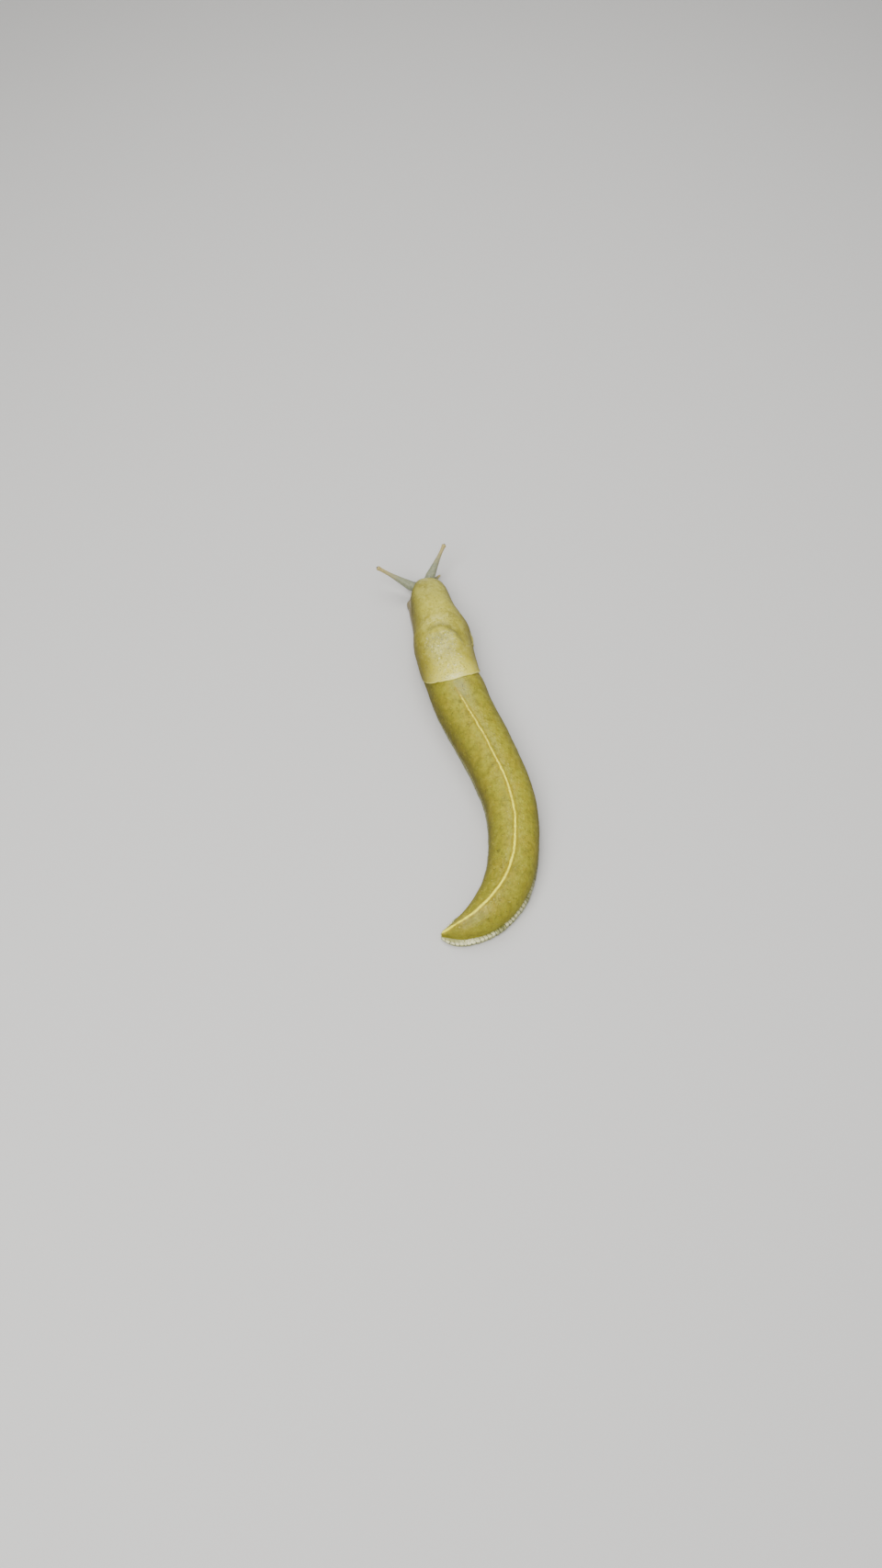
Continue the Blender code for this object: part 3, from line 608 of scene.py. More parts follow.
# Fringe: depth of its bars and how far they are cut from above, by distance, then width and depth of the
# grooves, how the bars' spacing wanders and how much the bars differ.
FRINGE_DEPTH = ((3.6, 0.03), (22, 0.05), (40, 0.14), (128, 0.18), (148, 0.26), (162, 0.26),
                (166, 0.2), (169.2, 0.05))
FRINGE_RISE = ((3.6, 0.0), (120, 0.03), (146, 0.2), (162, 0.26), (169.2, 0.1))
FRINGE_GROOVE = 0.30
GROOVE_CUT, GROOVE_DROP = 0.7, 1.2
BAR_WANDER = (0.3, 2.3)
BAR_LEAN = 0.1
BAR_JOG = (0.16, 1.2, 1.5)
BAR_SMALLEST = 0.35
BAR_DROP, BAR_RAISED = 0.8, 0.4
BAR_UNEVEN = 0.04
FRINGE_SEEDS = {1: 41, -1: 51}
FOOT_FRONT_COLOUR = (14, 40)
FRINGE_INSIDE = (0.5, 1.7)
FRINGE_PALE_RIGHT, FRINGE_PALE_LEFT = (131, 147), (150, 163)
# Place, spread and height on the edge of a painted highlight on the foot's top by the tail
GLINT_PLACE, GLINT_SPREAD, GLINT_EDGE = 161.2, 2.6, (0.7, 0.95)


def foot_side(s, side_sign, pitch):
    """One edge of the foot: its side and height, the mask of its grooves and a number for each bar. Narrow
    upright grooves part it into bars: depth times (size times |sin(pi phase)| - bell(sin(pi phase)))."""
    seed = FRINGE_SEEDS[side_sign]
    share, inward, bar_share, rise_share = columns_at(FOOT_EDGE, foot_edge_rows())
    top = along(FOOT_TOP, s)
    phase = s / pitch + BAR_WANDER[0] * drift(s / BAR_WANDER[1], 0.5, seed) + BAR_LEAN * share
    phase = phase + BAR_JOG[0] * drift(s / BAR_JOG[1], inward * BAR_JOG[2], 45)
    groove = bell(np.sin(np.pi * phase), FRINGE_GROOVE)
    pick = chance(np.floor(phase), 0, seed + 1)
    rounded = 1 - (1 - np.abs(np.sin(np.pi * phase))) ** 3
    size = BAR_SMALLEST + (1 - BAR_SMALLEST) * pick
    bars = along(FRINGE_DEPTH, s) * bar_share * (size * rounded - GROOVE_CUT * groove)
    wave = EDGE_WAVES[0] * drift(s / EDGE_WAVES[1], share * 2 + 0.5, seed + 2) * np.clip(share * 3, 0, 1)
    half = along(FOOT_HALF_WIDTH, s) + along(FOOT_TRIM, s) * (side_sign < 0)
    half = half - inward * np.clip(top / FOOT_EDGE_TOP, FOOT_EDGE_LEAST, 1) + bars + wave
    up = share * top + BAR_UNEVEN * bar_share * drift(phase, 0.5, seed + 3)
    drop = GROOVE_DROP * groove + BAR_DROP * pick * rounded - BAR_RAISED
    up = up - along(FRINGE_RISE, s) * rise_share * drop
    side = side_sign * np.maximum(half, FOOT_LEAST_WIDTH) + along(FOOT_SHIFT, s)
    return side, np.maximum(up, 0), groove * np.maximum(bar_share, rise_share), pick


def foot_edge_rows():
    """Numbers of rows of FOOT_EDGE at which its columns lie."""
    return np.linspace(0, len(FOOT_EDGE) - 1, FOOT_EDGE_COLUMNS)[None, :]


def make_foot(look):
    """Foot in one skin: up its left edge, over it, down its right edge and back under it, row by row."""
    s = spaced(FOOT_FRONT, FOOT_END, FOOT_STEP)[:, None]
    pitch = look.bar_pitch / MM
    right, right_up, right_groove, right_pick = foot_side(s, 1, pitch)
    left, left_up, left_groove, left_pick = foot_side(s, -1, pitch)
    inner = np.linspace(0, 1, FOOT_INNER_COLUMNS + 2)[1:-1]

    def around(up_left, over, up_right, under):
        widths = (FOOT_EDGE_COLUMNS, FOOT_INNER_COLUMNS) * 2
        parts = zip((up_left, over, up_right[:, ::-1], under), widths)
        return np.concatenate([np.broadcast_to(part, (len(s), width)) for part, width in parts], axis=1)

    side = around(left, left[:, -1:] + (right[:, -1:] - left[:, -1:]) * inner,
                  right, right[:, :1] + (left[:, :1] - right[:, :1]) * inner)
    number = foot_edge_rows()
    share, inward = columns_at(FOOT_EDGE, number)[:2]
    edge = around(share, 1, share, 0)
    inside = smooth_step(inward, *FRINGE_INSIDE) * (share > 0.9)
    on_right = side > along(FOOT_SHIFT, s)
    masks = {
        "groove": around(left_groove, 0, right_groove, 0),
        "edge": edge,
        "front": 1 - smooth_step(s, *FOOT_FRONT_COLOUR),
        "bar": around(left_pick, 0.5, right_pick, 0),
        "inside": around(inside, 1, inside, 0),
        "pale": np.where(on_right, smooth_step(s, *FRINGE_PALE_RIGHT), smooth_step(s, *FRINGE_PALE_LEFT)),
        # Painted highlight on the right of the foot's top edge by the tail
        "glinting": bell(s - GLINT_PLACE, GLINT_SPREAD) * smooth_step(edge, *GLINT_EDGE) * on_right,
    }
    points = place(s, side, around(left_up, along(FOOT_TOP, s), right_up, 0))
    uv = grid_uv(s / UV_LENGTH, around(number / FOOT_UV, 0.5, 1 - number / FOOT_UV, 0))
    foot = tube_piece("foot_skin", points, uv, masks, foot_finish(look))
    stand_in(foot, "foot_skin", "foot_front", "foot_middle", "foot_rear", "foot_tail")


# Mantle: its rows and columns, its round edge, the unevenness of its rear edge, and its corners.
MANTLE_ROWS = 236
MANTLE_COLUMNS = 201
EDGE_CROWDING = 0.32
RIM_ROUND = 0.7
RIM_BEAD = (0.1, 0.45, 0.35)
EDGE_CALM = 1.2
REAR_UNEVEN = ((0.22, 1 / 9, 91), (0.1, 1 / 27, 92))
REAR_CORNER = (0.72, 3.5)
FRONT_CORNER, FRONT_CORNER_SPAN = 1.6, (0.05, 0.75)

# Breathing hole: half length and height, rim of the hole, depth, and its lip and slit.
BREATH_SIZE = (1.25, 1.0)
BREATH_EDGE = (0.35, 1.05)
BREATH_DEPTH = 1.6
BREATH_RADIUS = 10.6
BREATH_LIP = (0.34, 1.55, 0.42)
# The last number is how strongly the slit is darkened with painted shade
SLIT_LEAN, SLIT_WIDTH, SLIT_SPAN, SLIT_DEPTH, SLIT_SHADE = 0.15, 0.28, (0.5, 1.4), 0.55, 0.75
# A raised seam on the mantle's right side above the breathing hole, which carries a painted highlight
SEAM_ANGLE, SEAM_WIDTH, SEAM_SPAN, SEAM_HEIGHT = 78.0, 3.2, (34.2, 35.4, 39.4, 41.2), 0.18
SEAM_WANDER = ((3.0, 1.5, 70),)

# Folds of the mantle as lines of (distance, arc): an arch over the hidden shell that runs on beside the
# breathing hole's swelling, and a cleft from the hole inwards. Then their widths, depths and stretches.
ARCH = ((35.6, -7.2), (34.9, -5.9), (34.1, -3.9), (34.1, -1.5), (35.4, 1.7), (37.8, 3.5), (39.3, 4.8),
        (42.2, 6.0), (45.0, 6.2))
CLEFT = ((40.0, 15.6), (41.0, 13.6), (42.4, 11.4), (44.2, 8.2), (45.9, 5.0))
ARCH_WIDTH, ARCH_DEPTH, ARCH_SPAN = 1.35, 0.1, (0.0, 0.2, 0.82, 1.0)
CLEFT_WIDTH, CLEFT_DEPTH, CLEFT_SPAN = 0.3, 0.3, (0.0, 0.1, 0.6, 1.0)
FOLD_WANDER = ((0.6, 2.4, 2.4, 65), (0.3, 0.9, 0.9, 69))
HUMP, HUMP_FRONT, HUMP_REAR, HUMP_ACROSS = 0.4, (-0.6, 2.2), (42, 54), (-9.0, -5.0, 4.0, 7.5)
MIDDLE_WANDER, MIDDLE_FRONT, MIDDLE_ACROSS = 3.0, (35.5, 38.5), (-8.5, -5.5, 2.0, 5.0)

# Relief of the mantle: fine grain and pits, soft swells, and the glossy middle's coarse beads.
PORE_SIZE, PORE_SCATTER, PORE_WANDER = (0.8, 0.72), 0.85, ((0.3, 3.0, 3.0, 61),)
PORE_HEIGHT, PORE_RISE, PORE_LEAST = 0.05, (0.0, 0.45), 0.4
GRAIN_START, GRAIN_LEAST = (16, 34), 0.45
PIT_DEPTH, PIT_EDGE, PIT_SHARE, PIT_MORE = 0.1, (0.1, 0.5), 0.03, 0.15
SWELLS = ((0.16, 7.0, 6.0, 63), (0.08, 2.6, 2.6, 64))
BEAD_HEIGHT, BEAD_SIZE, BEAD_SCATTER, BEAD_RISE = 0.14, (1.9, 1.4), 0.9, (0.0, 0.5)
BEAD_WANDER, BEAD_UNEVEN = ((0.4, 2.0, 2.0, 66),), ((0.7, 1.0, 1.0, 68),)

# Places of the mantle's colours: spreads from its edges, a painted highlight on the middle of its rear rim,
# and patches of painted sheen as rows of distance, arc and their spreads.
RIM_REAR, RIM_SIDE, RIM_FRONT, RIM_ELSEWHERE = (0.12, 0.3), 0.4, 0.5, 0.5
RIM_GLINT_PLACE = (0.9, 1.3, -1.5, 3.4)
SHEEN_PATCHES = ((31.0, 3.0, -1.5, 5.0), (45.0, 4.0, -4.5, 3.0))
SHEEN_REAR = ((48, 56), -2.0, 9.0)


def crowded(count):
    """Shares from 0 to 1, closer together at both ends: x - k sin(2 pi x) / (2 pi) for even x."""
    x = np.linspace(0, 1, count)
    return x - EDGE_CROWDING * np.sin(2 * np.pi * x) / (2 * np.pi)


def mantle_places():
    """Distance and angle of each point of the mantle, and how far it is from the front and rear edge."""
    across = 2 * crowded(MANTLE_COLUMNS)[None, :] - 1
    front = MANTLE_FRONT + MANTLE_FRONT_ROUND * (1 - np.sqrt(np.maximum(1 - across ** 2, 0)))
    front = front + FRONT_CORNER * smooth_step(across, *FRONT_CORNER_SPAN)
    rear = mantle_rear(across * along(MANTLE_REACH, MANTLE_REAR)) + ripples(across, REAR_UNEVEN)
    rear = rear - REAR_CORNER[1] * smooth_step(np.abs(across), REAR_CORNER[0], 1.0) ** 2
    s = front + (rear - front) * crowded(MANTLE_ROWS)[:, None]
    return s, across * along(MANTLE_REACH, s), s - front, rear - s


def mantle_surface(s, angle, inset):
    """Points of the mantle's outer surface, or of a surface that lies inset below it."""
    side, up = section(s, angle, inset - along(MANTLE_PROUD, s))
    return place(s, side, up)


def from_line(s, arc, line):
    """Distance to a smooth line through (distance, arc) points, and the nearest share of the line."""
    line_s, line_arc = columns_at(line, np.linspace(0, len(line) - 1, 20 * len(line)))
    apart = np.hypot(s[..., None] - line_s, arc[..., None] - line_arc)
    return np.min(apart, axis=-1), np.argmin(apart, axis=-1) / (len(line_s) - 1)


def fold_masks(s, arc):
    """Masks of the arch and the cleft, the raised shield behind the arch, and the glossy middle."""
    wander = waves(s, arc, FOLD_WANDER)
    from_arch, share = from_line(s, arc + wander, ARCH)
    arch = bell(from_arch, ARCH_WIDTH) * window(share, *ARCH_SPAN)
    from_cleft, share = from_line(s, arc + wander, CLEFT)
    cleft = bell(from_cleft, CLEFT_WIDTH) * window(share, *CLEFT_SPAN)
    front = along([(at, back) for back, at in sorted(ARCH, key=lambda point: point[1])], arc)
    shield = smooth_step(s - front, *HUMP_FRONT) * (1 - smooth_step(s, *HUMP_REAR))
    shield = shield * window(arc, *HUMP_ACROSS)
    wander = wander * MIDDLE_WANDER
    middle = smooth_step(s + wander, *MIDDLE_FRONT) * window(arc + wander, *MIDDLE_ACROSS)
    return arch, cleft, shield, middle


def mantle_relief(s, angle, arc):
    """Height of the mantle's fine grain, pits, beads, folds and breathing hole, and its masks."""
    arch, cleft, shield, middle = fold_masks(s, arc)
    u = s / PORE_SIZE[0] + waves(s, arc, PORE_WANDER)
    small, apart, pick = cells(u, arc / PORE_SIZE[1], 62, PORE_SCATTER)
    calm = smooth_step(s, *GRAIN_START) * (1 - GRAIN_LEAST) + GRAIN_LEAST
    grain = PORE_HEIGHT * smooth_step(apart, *PORE_RISE) * (PORE_LEAST + pick) * calm
    pit = (1 - smooth_step(small, *PIT_EDGE)) * (pick > 1 - PIT_SHARE - PIT_MORE * middle)
    _, apart, _ = cells(s / BEAD_SIZE[0] + waves(s, arc, BEAD_WANDER), arc / BEAD_SIZE[1], 67, BEAD_SCATTER)
    beads = BEAD_HEIGHT * middle * (smooth_step(apart, *BEAD_RISE) + waves(s, arc, BEAD_UNEVEN))
    height = grain - PIT_DEPTH * pit + waves(s, arc, SWELLS) + HUMP * shield + beads
    x, y = s - BREATH_PLACE, np.radians(angle - BREATH_ANGLE) * BREATH_RADIUS
    far = np.hypot(x / BREATH_SIZE[0], y / BREATH_SIZE[1])
    hole = 1 - smooth_step(far, *BREATH_EDGE)
    lip = bell(far - BREATH_LIP[1], BREATH_LIP[2])
    slit = bell(x + SLIT_LEAN * y, SLIT_WIDTH) * smooth_step(y, *SLIT_SPAN)
    seam_and_glint = bell(angle - SEAM_ANGLE - ripples(s, SEAM_WANDER), SEAM_WIDTH) * window(s, *SEAM_SPAN) * (1 - hole)
    height = height * (1 - hole) - BREATH_DEPTH * hole + BREATH_LIP[0] * lip * (1 - slit) - SLIT_DEPTH * slit
    height = height - ARCH_DEPTH * arch - CLEFT_DEPTH * cleft + SEAM_HEIGHT * seam_and_glint
    # The hole mask carries painted shade for the breathing hole and its slit
    return height, {"pit": pit, "hole": np.clip(hole + SLIT_SHADE * slit, 0, 1), "lip": lip, "seam_and_glint": seam_and_glint,
                    "arch": arch, "cleft": cleft, "middle": middle}


def make_mantle(look):
    """Mantle flap: an outer surface with its relief, and an inner one, both drawn together at the edge
    in a round rim of inset thickness / 2 (1 - sqrt(1 - (1 - d / r)^2)) for a distance d from the edge."""
    s, angle, from_front, from_rear = mantle_places()
    arc = length_across(mantle_surface(s, angle, 0.0), MANTLE_COLUMNS // 2)
    from_side = np.minimum(arc - arc[:, :1], arc[:, -1:] - arc)
    from_edge = np.minimum(np.minimum(from_front, from_rear), from_side)
    thickness = mantle_thickness(s, angle)
    nearness = 1 - np.clip(from_edge / RIM_ROUND, 0, 1)
    drop = thickness / 2 * (1 - np.sqrt(np.maximum(1 - nearness ** 2, 0)))
    outer = mantle_surface(s, angle, drop)
    inner = mantle_surface(s, angle, thickness - drop)
    height, marks = mantle_relief(s, angle, arc)
    bead = RIM_BEAD[0] * bell(from_rear - RIM_BEAD[1], RIM_BEAD[2])
    height = height * smooth_step(from_edge, 0.0, EDGE_CALM) + bead * (nearness < 1)
    outer = outer + outward(outer, False) * height[..., None]
    out = np.arange(s.size).reshape(s.shape)
    keep = np.zeros(s.shape, dtype=bool)
    keep[1:-1, 1:-1] = True
    inn = out.copy()
    inn[keep] = out.size + np.arange(keep.sum())
    quads = np.concatenate([grid_quads(out), grid_quads(inn)[:, ::-1]])
    points = np.concatenate([outer.reshape(-1, 3), inner[keep]])
    # bright: patches of painted sheen on the mantle's top and towards its rear
    bright = sum(bell(s - at, length) * bell(arc - side, width) for at, length, side, width in SHEEN_PATCHES)
    bright = bright + smooth_step(s, *SHEEN_REAR[0]) * bell(arc - SHEEN_REAR[1], SHEEN_REAR[2])
    rim = bell(from_rear - RIM_REAR[0], RIM_REAR[1])
    rim = rim + RIM_ELSEWHERE * (bell(from_side, RIM_SIDE) + bell(from_front, RIM_FRONT))
    marks.update({
        "rim": np.clip(rim, 0, 1),
        # low: where the mantle's painted shade low on the sides comes in; it also fades patches there
        "low": smooth_step(np.abs(angle), *LOW_TURN),
        "back": (s - MANTLE_FRONT) / (MANTLE_REAR - MANTLE_FRONT),
        # Painted highlight on the middle of the rear rim
        "rim_glint": bell(from_rear - RIM_GLINT_PLACE[0], RIM_GLINT_PLACE[1]) * bell(arc - RIM_GLINT_PLACE[2], RIM_GLINT_PLACE[3]),
        "bright": np.clip(bright, 0, 1),
    })

    def both(values):
        values = np.broadcast_to(values, s.shape)
        return np.concatenate([values.ravel(), values[keep]])

    masks = {name: both(mask) for name, mask in marks.items()}
    uv = grid_uv(both(s) / UV_LENGTH, both(arc) / UV_WIDTH + 0.5)
    mantle = new_piece("mantle_skin", points, quads, NO_FANS, uv, masks, mantle_finish(look))
    stand_in(mantle, "mantle_skin", "mantle")


# Feelers, upper and lower: where the straight tube starts, how wide the flared root is, the tube's profile
# as rows of share of the length and radius, the rounded tip as rows of distance from it and radius, and
# the size of the grain and of the rings.
EYESTALK = {
    "start": 3.2, "flare": 2.6, "grain": 0.42, "rings": 0.9,
    "tube": ((0.0, 1.82), (0.12, 1.6), (0.27, 1.33), (0.46, 1.04), (0.66, 0.78), (0.85, 0.67), (1.0, 0.74)),
    "tip": ((1.1, 0.74), (0.75, 0.86), (0.45, 0.88), (0.15, 0.76), (0.02, 0.56), (0.12, 0.40), (0.4, 0.25)),
}
FEELER = {
    "start": 1.7, "flare": 1.4, "grain": 0.36, "rings": 0.7,
    "tube": ((0.0, 1.0), (0.35, 0.8), (0.75, 0.58), (1.0, 0.47)),
    "tip": ((0.5, 0.47), (0.25, 0.42), (0.08, 0.27), (0.0, 0.04)),
}
FLARE_ROWS = 16
FLARE_LENGTH = 2.0
FLARE_PULL = (1.1, 1.2)
FLARE_NEARER = 0.85
FEELER_COLUMNS = 44
FEELER_STEP = 0.13
TIP_ROWS = 5
ROOT_SUNK = 0.06
ROOT_ROWS, ROOT_ANGLES = (5.0, 16.0, 260), (-150, 150, 500)
SKIN_GRAIN = 0.05
RING_FOLDS = 0.3
GRAIN_STRETCH, GRAIN_UNEVEN = 0.8, 0.6
FEELER_CALM_ROWS, TIP_CALM = 6, (0.3, 1.4)
FEELER_UV = (50.0, 0.1, 10.0)


def feeler_axes(spec):
    """Unit vectors of a feeler: across, upward and along it."""
    azimuth, rise = np.radians(spec["azimuth"]), np.radians(spec["rise"])
    axis = np.array([np.cos(azimuth) * np.cos(rise), np.sin(azimuth) * np.cos(rise), np.sin(rise)])
    across = np.cross(axis, [0.0, 0.0, 1.0])
    across /= np.linalg.norm(across)
    return across, np.cross(across, axis), axis


def circle_round(axes, columns):
    """Turns round a feeler and the unit vectors there: across cos t + upward sin t."""
    turn = np.linspace(0, 2 * np.pi, columns, endpoint=False)
    return turn, np.cos(turn)[:, None] * axes[0] + np.sin(turn)[:, None] * axes[1]


def leaves_head_at(root, axis):
    """Row and angle of the head's surface where a line from a root inside it comes out: the surface
    point nearest to the line, ahead of the root."""
    row, angle = np.meshgrid(np.linspace(*ROOT_ROWS), np.linspace(*ROOT_ANGLES), indexing="ij")
    points = body_surface(row, angle) - root
    ahead = points @ axis
    apart = np.linalg.norm(points - ahead[..., None] * axis, axis=-1) + np.where(ahead < 0, 99.0, 0.0)
    best = np.unravel_index(np.argmin(apart), apart.shape)
    return row[best], angle[best]


def root_flare(root, axes, start, radius, flare):
    """Rows from the head's surface to the start of a feeler's tube. Each point runs on a Hermite curve
    that leaves along the surface, inwards, and arrives along the feeler."""
    axis = axes[2]
    row, angle = leaves_head_at(root, axis)
    centre = body_surface(row, angle)
    by_row = (body_surface(row + 0.05, angle) - centre) / 0.05
    by_angle = (body_surface(row, angle + 0.5) - centre) / 0.5
    _, circle = circle_round(axes, FEELER_COLUMNS)
    normal = np.cross(by_row, by_angle)
    normal /= np.linalg.norm(normal)
    flat = circle - (circle @ normal)[:, None] * normal
    shares = flare * flat @ np.linalg.pinv(np.stack([by_row, by_angle], axis=-1)).T
    outer, nearer = [body_surface(row + part * shares[:, 0], angle + part * shares[:, 1])
                     for part in (1.0, FLARE_NEARER)]
    inwards = nearer - outer
    inwards /= np.linalg.norm(inwards, axis=-1, keepdims=True)
    inner = root + start * axis + radius * circle
    reach = np.linalg.norm(inner - outer, axis=-1, keepdims=True)
    t = np.linspace(0, 1, FLARE_ROWS)[:, None, None]
    curve = (1 + 2 * t) * (1 - t) ** 2 * outer + t * (1 - t) ** 2 * reach * FLARE_PULL[0] * inwards
    curve = curve + t * t * (3 - 2 * t) * inner - t * t * (1 - t) * reach * FLARE_PULL[1] * axis
    return curve - ROOT_SUNK * normal * (1 - t) ** 2


def make_feeler(name, spec, kind, material):
    """Feeler: a flared root, a round tube of a table's radius and a rounded tip, with a fine grain in
    rings, all in one surface."""
    root = place(*spec["root"])
    axes = feeler_axes(spec)
    start, length, tip = kind["start"], spec["length"], kind["tip"]
    tube_end = length - tip[0][0]
    far = np.linspace(start, tube_end, int((tube_end - start) / FEELER_STEP))
    radius = along(kind["tube"], (far - start) / (tube_end - start))
    tip_back, tip_radius = columns_at(tip, np.linspace(0, len(tip) - 1, TIP_ROWS * len(tip))[1:])
    far = np.concatenate([far, length - tip_back])
    radius = np.concatenate([radius, tip_radius])
    turn, circle = circle_round(axes, FEELER_COLUMNS)
    tube = root + far[:, None, None] * axes[2] + radius[:, None, None] * circle
    points = np.concatenate([root_flare(root, axes, start, radius[0], kind["flare"])[:-1], tube])
    far = np.concatenate([np.linspace(start - FLARE_LENGTH, start, FLARE_ROWS)[:-1], far])[:, None]
    ring = np.concatenate([np.full(FLARE_ROWS - 1, radius[0]), radius])[:, None]
    _, apart, pick = cells(far / (kind["grain"] * GRAIN_STRETCH), turn * ring / kind["grain"], 71, 0.6)
    bumps = smooth_step(apart, 0.0, 0.5) * (GRAIN_UNEVEN + (1 - GRAIN_UNEVEN) * pick)
    folds = RING_FOLDS * drift(far / kind["rings"], 0.5, 72)
    calm = smooth_step(np.arange(len(points))[:, None], 0, FEELER_CALM_ROWS)
    calm = calm * smooth_step(length - far, *TIP_CALM)
    height = SKIN_GRAIN * (bumps + folds) * calm * ring
    points = points + outward(points, True) * height[..., None]
    masks = {"tip": np.clip(far / length, 0, 1), "groove": (1 - smooth_step(apart, 0.05, 0.35)) * calm}
    uv = grid_uv(far / FEELER_UV[0] + FEELER_UV[1], turn / FEELER_UV[2])
    piece = tube_piece(name + "_skin", points, uv, masks, material)
    stand_in(piece, "feeler_skin", name)


def make_feelers(look):
    """Upper feelers, which carry the eyes, and the short lower ones beside the mouth."""
    material = feeler_finish(look)
    for side in ("left", "right"):
        make_feeler("eyestalk_" + side, STALKS[side], EYESTALK, material)
        make_feeler("feeler_" + side, FEELERS[side], FEELER, material)


EYE_ROWS = 24
EYE_COLUMNS = 32
EYE_POLE = 0.04
EYE_STRETCH = 1.06
EYE_UV = (4.0, 7.0)


def make_eyes(look):
    """Eyes: round beads, slightly drawn out along their feeler, set in its tip."""
    material = eye_finish(look)
    for side, spec in STALKS.items():
        axes = feeler_axes(spec)
        centre = place(*spec["root"]) + axes[2] * (spec["length"] - EYE_SUNK)
        polar = np.linspace(EYE_POLE, np.pi - EYE_POLE, EYE_ROWS)[:, None]
        turn, ring = circle_round(axes, EYE_COLUMNS)
        bead = np.sin(polar)[..., None] * ring - EYE_STRETCH * np.cos(polar)[..., None] * axes[2]
        uv = grid_uv(polar / EYE_UV[0], turn / EYE_UV[1])
        masks = {"ahead": polar / np.pi}
        eye = tube_piece("eye_%s_bead" % side, centre + EYE_RADIUS * bead, uv, masks, material)
        stand_in(eye, "eye", "eye_" + side)


class Value:
    """Number that varies over a surface. Sums and products of it add Math nodes to its material."""

    def __init__(self, finish, socket):
        self.finish = finish
        self.socket = socket

    def math(self, operation, first, second):
        return self.finish.node("ShaderNodeMath", {"operation": operation}, {0: first, 1: second})

    def __add__(self, other):
        return self.math("ADD", self, other)

    __radd__ = __add__

    def __sub__(self, other):
        return self.math("SUBTRACT", self, other)

    def __rsub__(self, other):
        return self.math("SUBTRACT", other, self)

    def __mul__(self, other):
        return self.math("MULTIPLY", self, other)

    __rmul__ = __mul__


class Finish:
    """One material, the nodes that lead to its shader, and the named values that they work out."""

    def __init__(self, name, kind, **constants):
        self.material = bpy.data.materials.new(name)
        self.material.use_nodes = True
        self.tree = self.material.node_tree
        self.shader = self.tree.nodes["Principled BSDF"]
        for socket, value in constants.items():
            self.shader.inputs[socket.replace("_", " ")].default_value = value
        self.kind = kind
        self.values = {}
        self.add_patterns(kind["patterns"])
        for value, (base, weights) in kind.get("sums", {}).items():
            self[value] = self.total(base, weights)

    def __getitem__(self, name):
        """Value of a name, which is that of the mask stored for each point unless another was set."""
        if name not in self.values:
            self.values[name] = self.node("ShaderNodeAttribute", {"attribute_name": name}, {}, "Fac")
        return self.values[name]

    def __setitem__(self, name, value):
        self.values[name] = value

    def add_patterns(self, patterns):
        """Sets noises and spots from rows of size in millimetres, detail and roughness."""
        for name, (size, detail, roughness) in patterns.items():
            self[name] = self.spots(size) if detail is None else self.noise(size, detail, roughness)

    def put(self, socket, value):
        """Links or sets one input."""
        if isinstance(value, Value):
            self.tree.links.new(value.socket, socket)
        elif socket.type == "RGBA":
            socket.default_value = (*value[:3], 1.0)
        else:
            socket.default_value = value

    def node(self, kind, settings, sockets, output=0):
        """Adds a node, sets it up, fills its inputs and gives one of its outputs."""
        made = self.tree.nodes.new(kind)
        for setting, value in settings.items():
            setattr(made, setting, value)
        by_name = {socket.identifier: socket for socket in made.inputs}
        for key, value in sockets.items():
            self.put(made.inputs[key] if isinstance(key, int) else by_name[key], value)
        outputs = {socket.identifier: socket for socket in made.outputs}
        return Value(self, made.outputs[output] if isinstance(output, int) else outputs[output])

    def places(self, size):
        """Place in the model in units of a size, or on the skin in units of a length and a width."""
        if isinstance(size, tuple):
            where = self.node("ShaderNodeUVMap", {"uv_map": "skin"}, {})
            scale = (UV_LENGTH / size[0], UV_WIDTH / size[1], 1.0)
        else:
            where = self.node("ShaderNodeTexCoord", {}, {}, "Object")
            scale = (1 / (size * MM),) * 3
        return self.node("ShaderNodeMapping", {}, {"Vector": where, "Scale": scale})

    def noise(self, size, detail, roughness):
        """Soft random pattern from 0 to 1."""
        return self.node("ShaderNodeTexNoise", {}, {"Vector": self.places(size), "Scale": 1.0,
                                                    "Detail": detail, "Roughness": roughness})

    def spots(self, size):
        """Distance to the nearest of scattered points."""
        return self.node("ShaderNodeTexVoronoi", {}, {"Vector": self.places(size), "Scale": 1.0})

    def step(self, value, low, high):
        """0 below low and 1 above high, or the other way round where low is above high."""
        return self.node("ShaderNodeMapRange", {"interpolation_type": "SMOOTHSTEP"},
                         {"Value": value, "From Min": low, "From Max": high})

    def mix(self, share, first, second):
        """Colour that goes from the first to the second with a share."""
        return self.node("ShaderNodeMix", {"data_type": "RGBA"},
                         {"Factor_Float": share, "A_Color": first, "B_Color": second}, "Result_Color")

    def total(self, base, weights):
        """A base plus each named value times its weight."""
        result = base
        for name, weight in weights.items():
            result = result + self[name] * weight
        return result

    def paint(self, colour, look, layers):
        """Colour laid over by each layer in turn. A layer's share is the product of its mask, its pattern
        between the levels where it starts and is full, its fading low on the sides and its strength."""
        for where, pattern, start, full, low_fade, strength, over in layers:
            share = strength
            if pattern is not None:
                share = self.step(self[pattern], start, full) * share
            if where is not None:
                share = self[where] * share
            if low_fade:
                share = (1 - self["low"] * low_fade) * share
            colour = self.mix(share, colour, getattr(look, over))
        return colour

    def done(self, colour, **links):
        """Feeds the shader with a colour and its kind's roughness and relief, and gives the material."""
        links["Base_Color"] = colour
        links["Roughness"] = self.total(*self.kind["rough"])
        if "relief" in self.kind:
            height = self.total(*self.kind["relief"])
            links["Normal"] = self.node("ShaderNodeBump", {}, {"Height": height, "Distance": MM})
        for socket, value in links.items():
            self.put(self.shader.inputs[socket.replace("_", " ")], value)
        return self.material


MOIST = {"Coat_Weight": 0.06, "Coat_Roughness": 0.22, "Subsurface_Weight": 0.1,
         "Subsurface_Radius": (1.0, 0.8, 0.3), "Subsurface_Scale": 0.0006, "IOR": 1.4,
         "Specular_IOR_Level": 0.35}

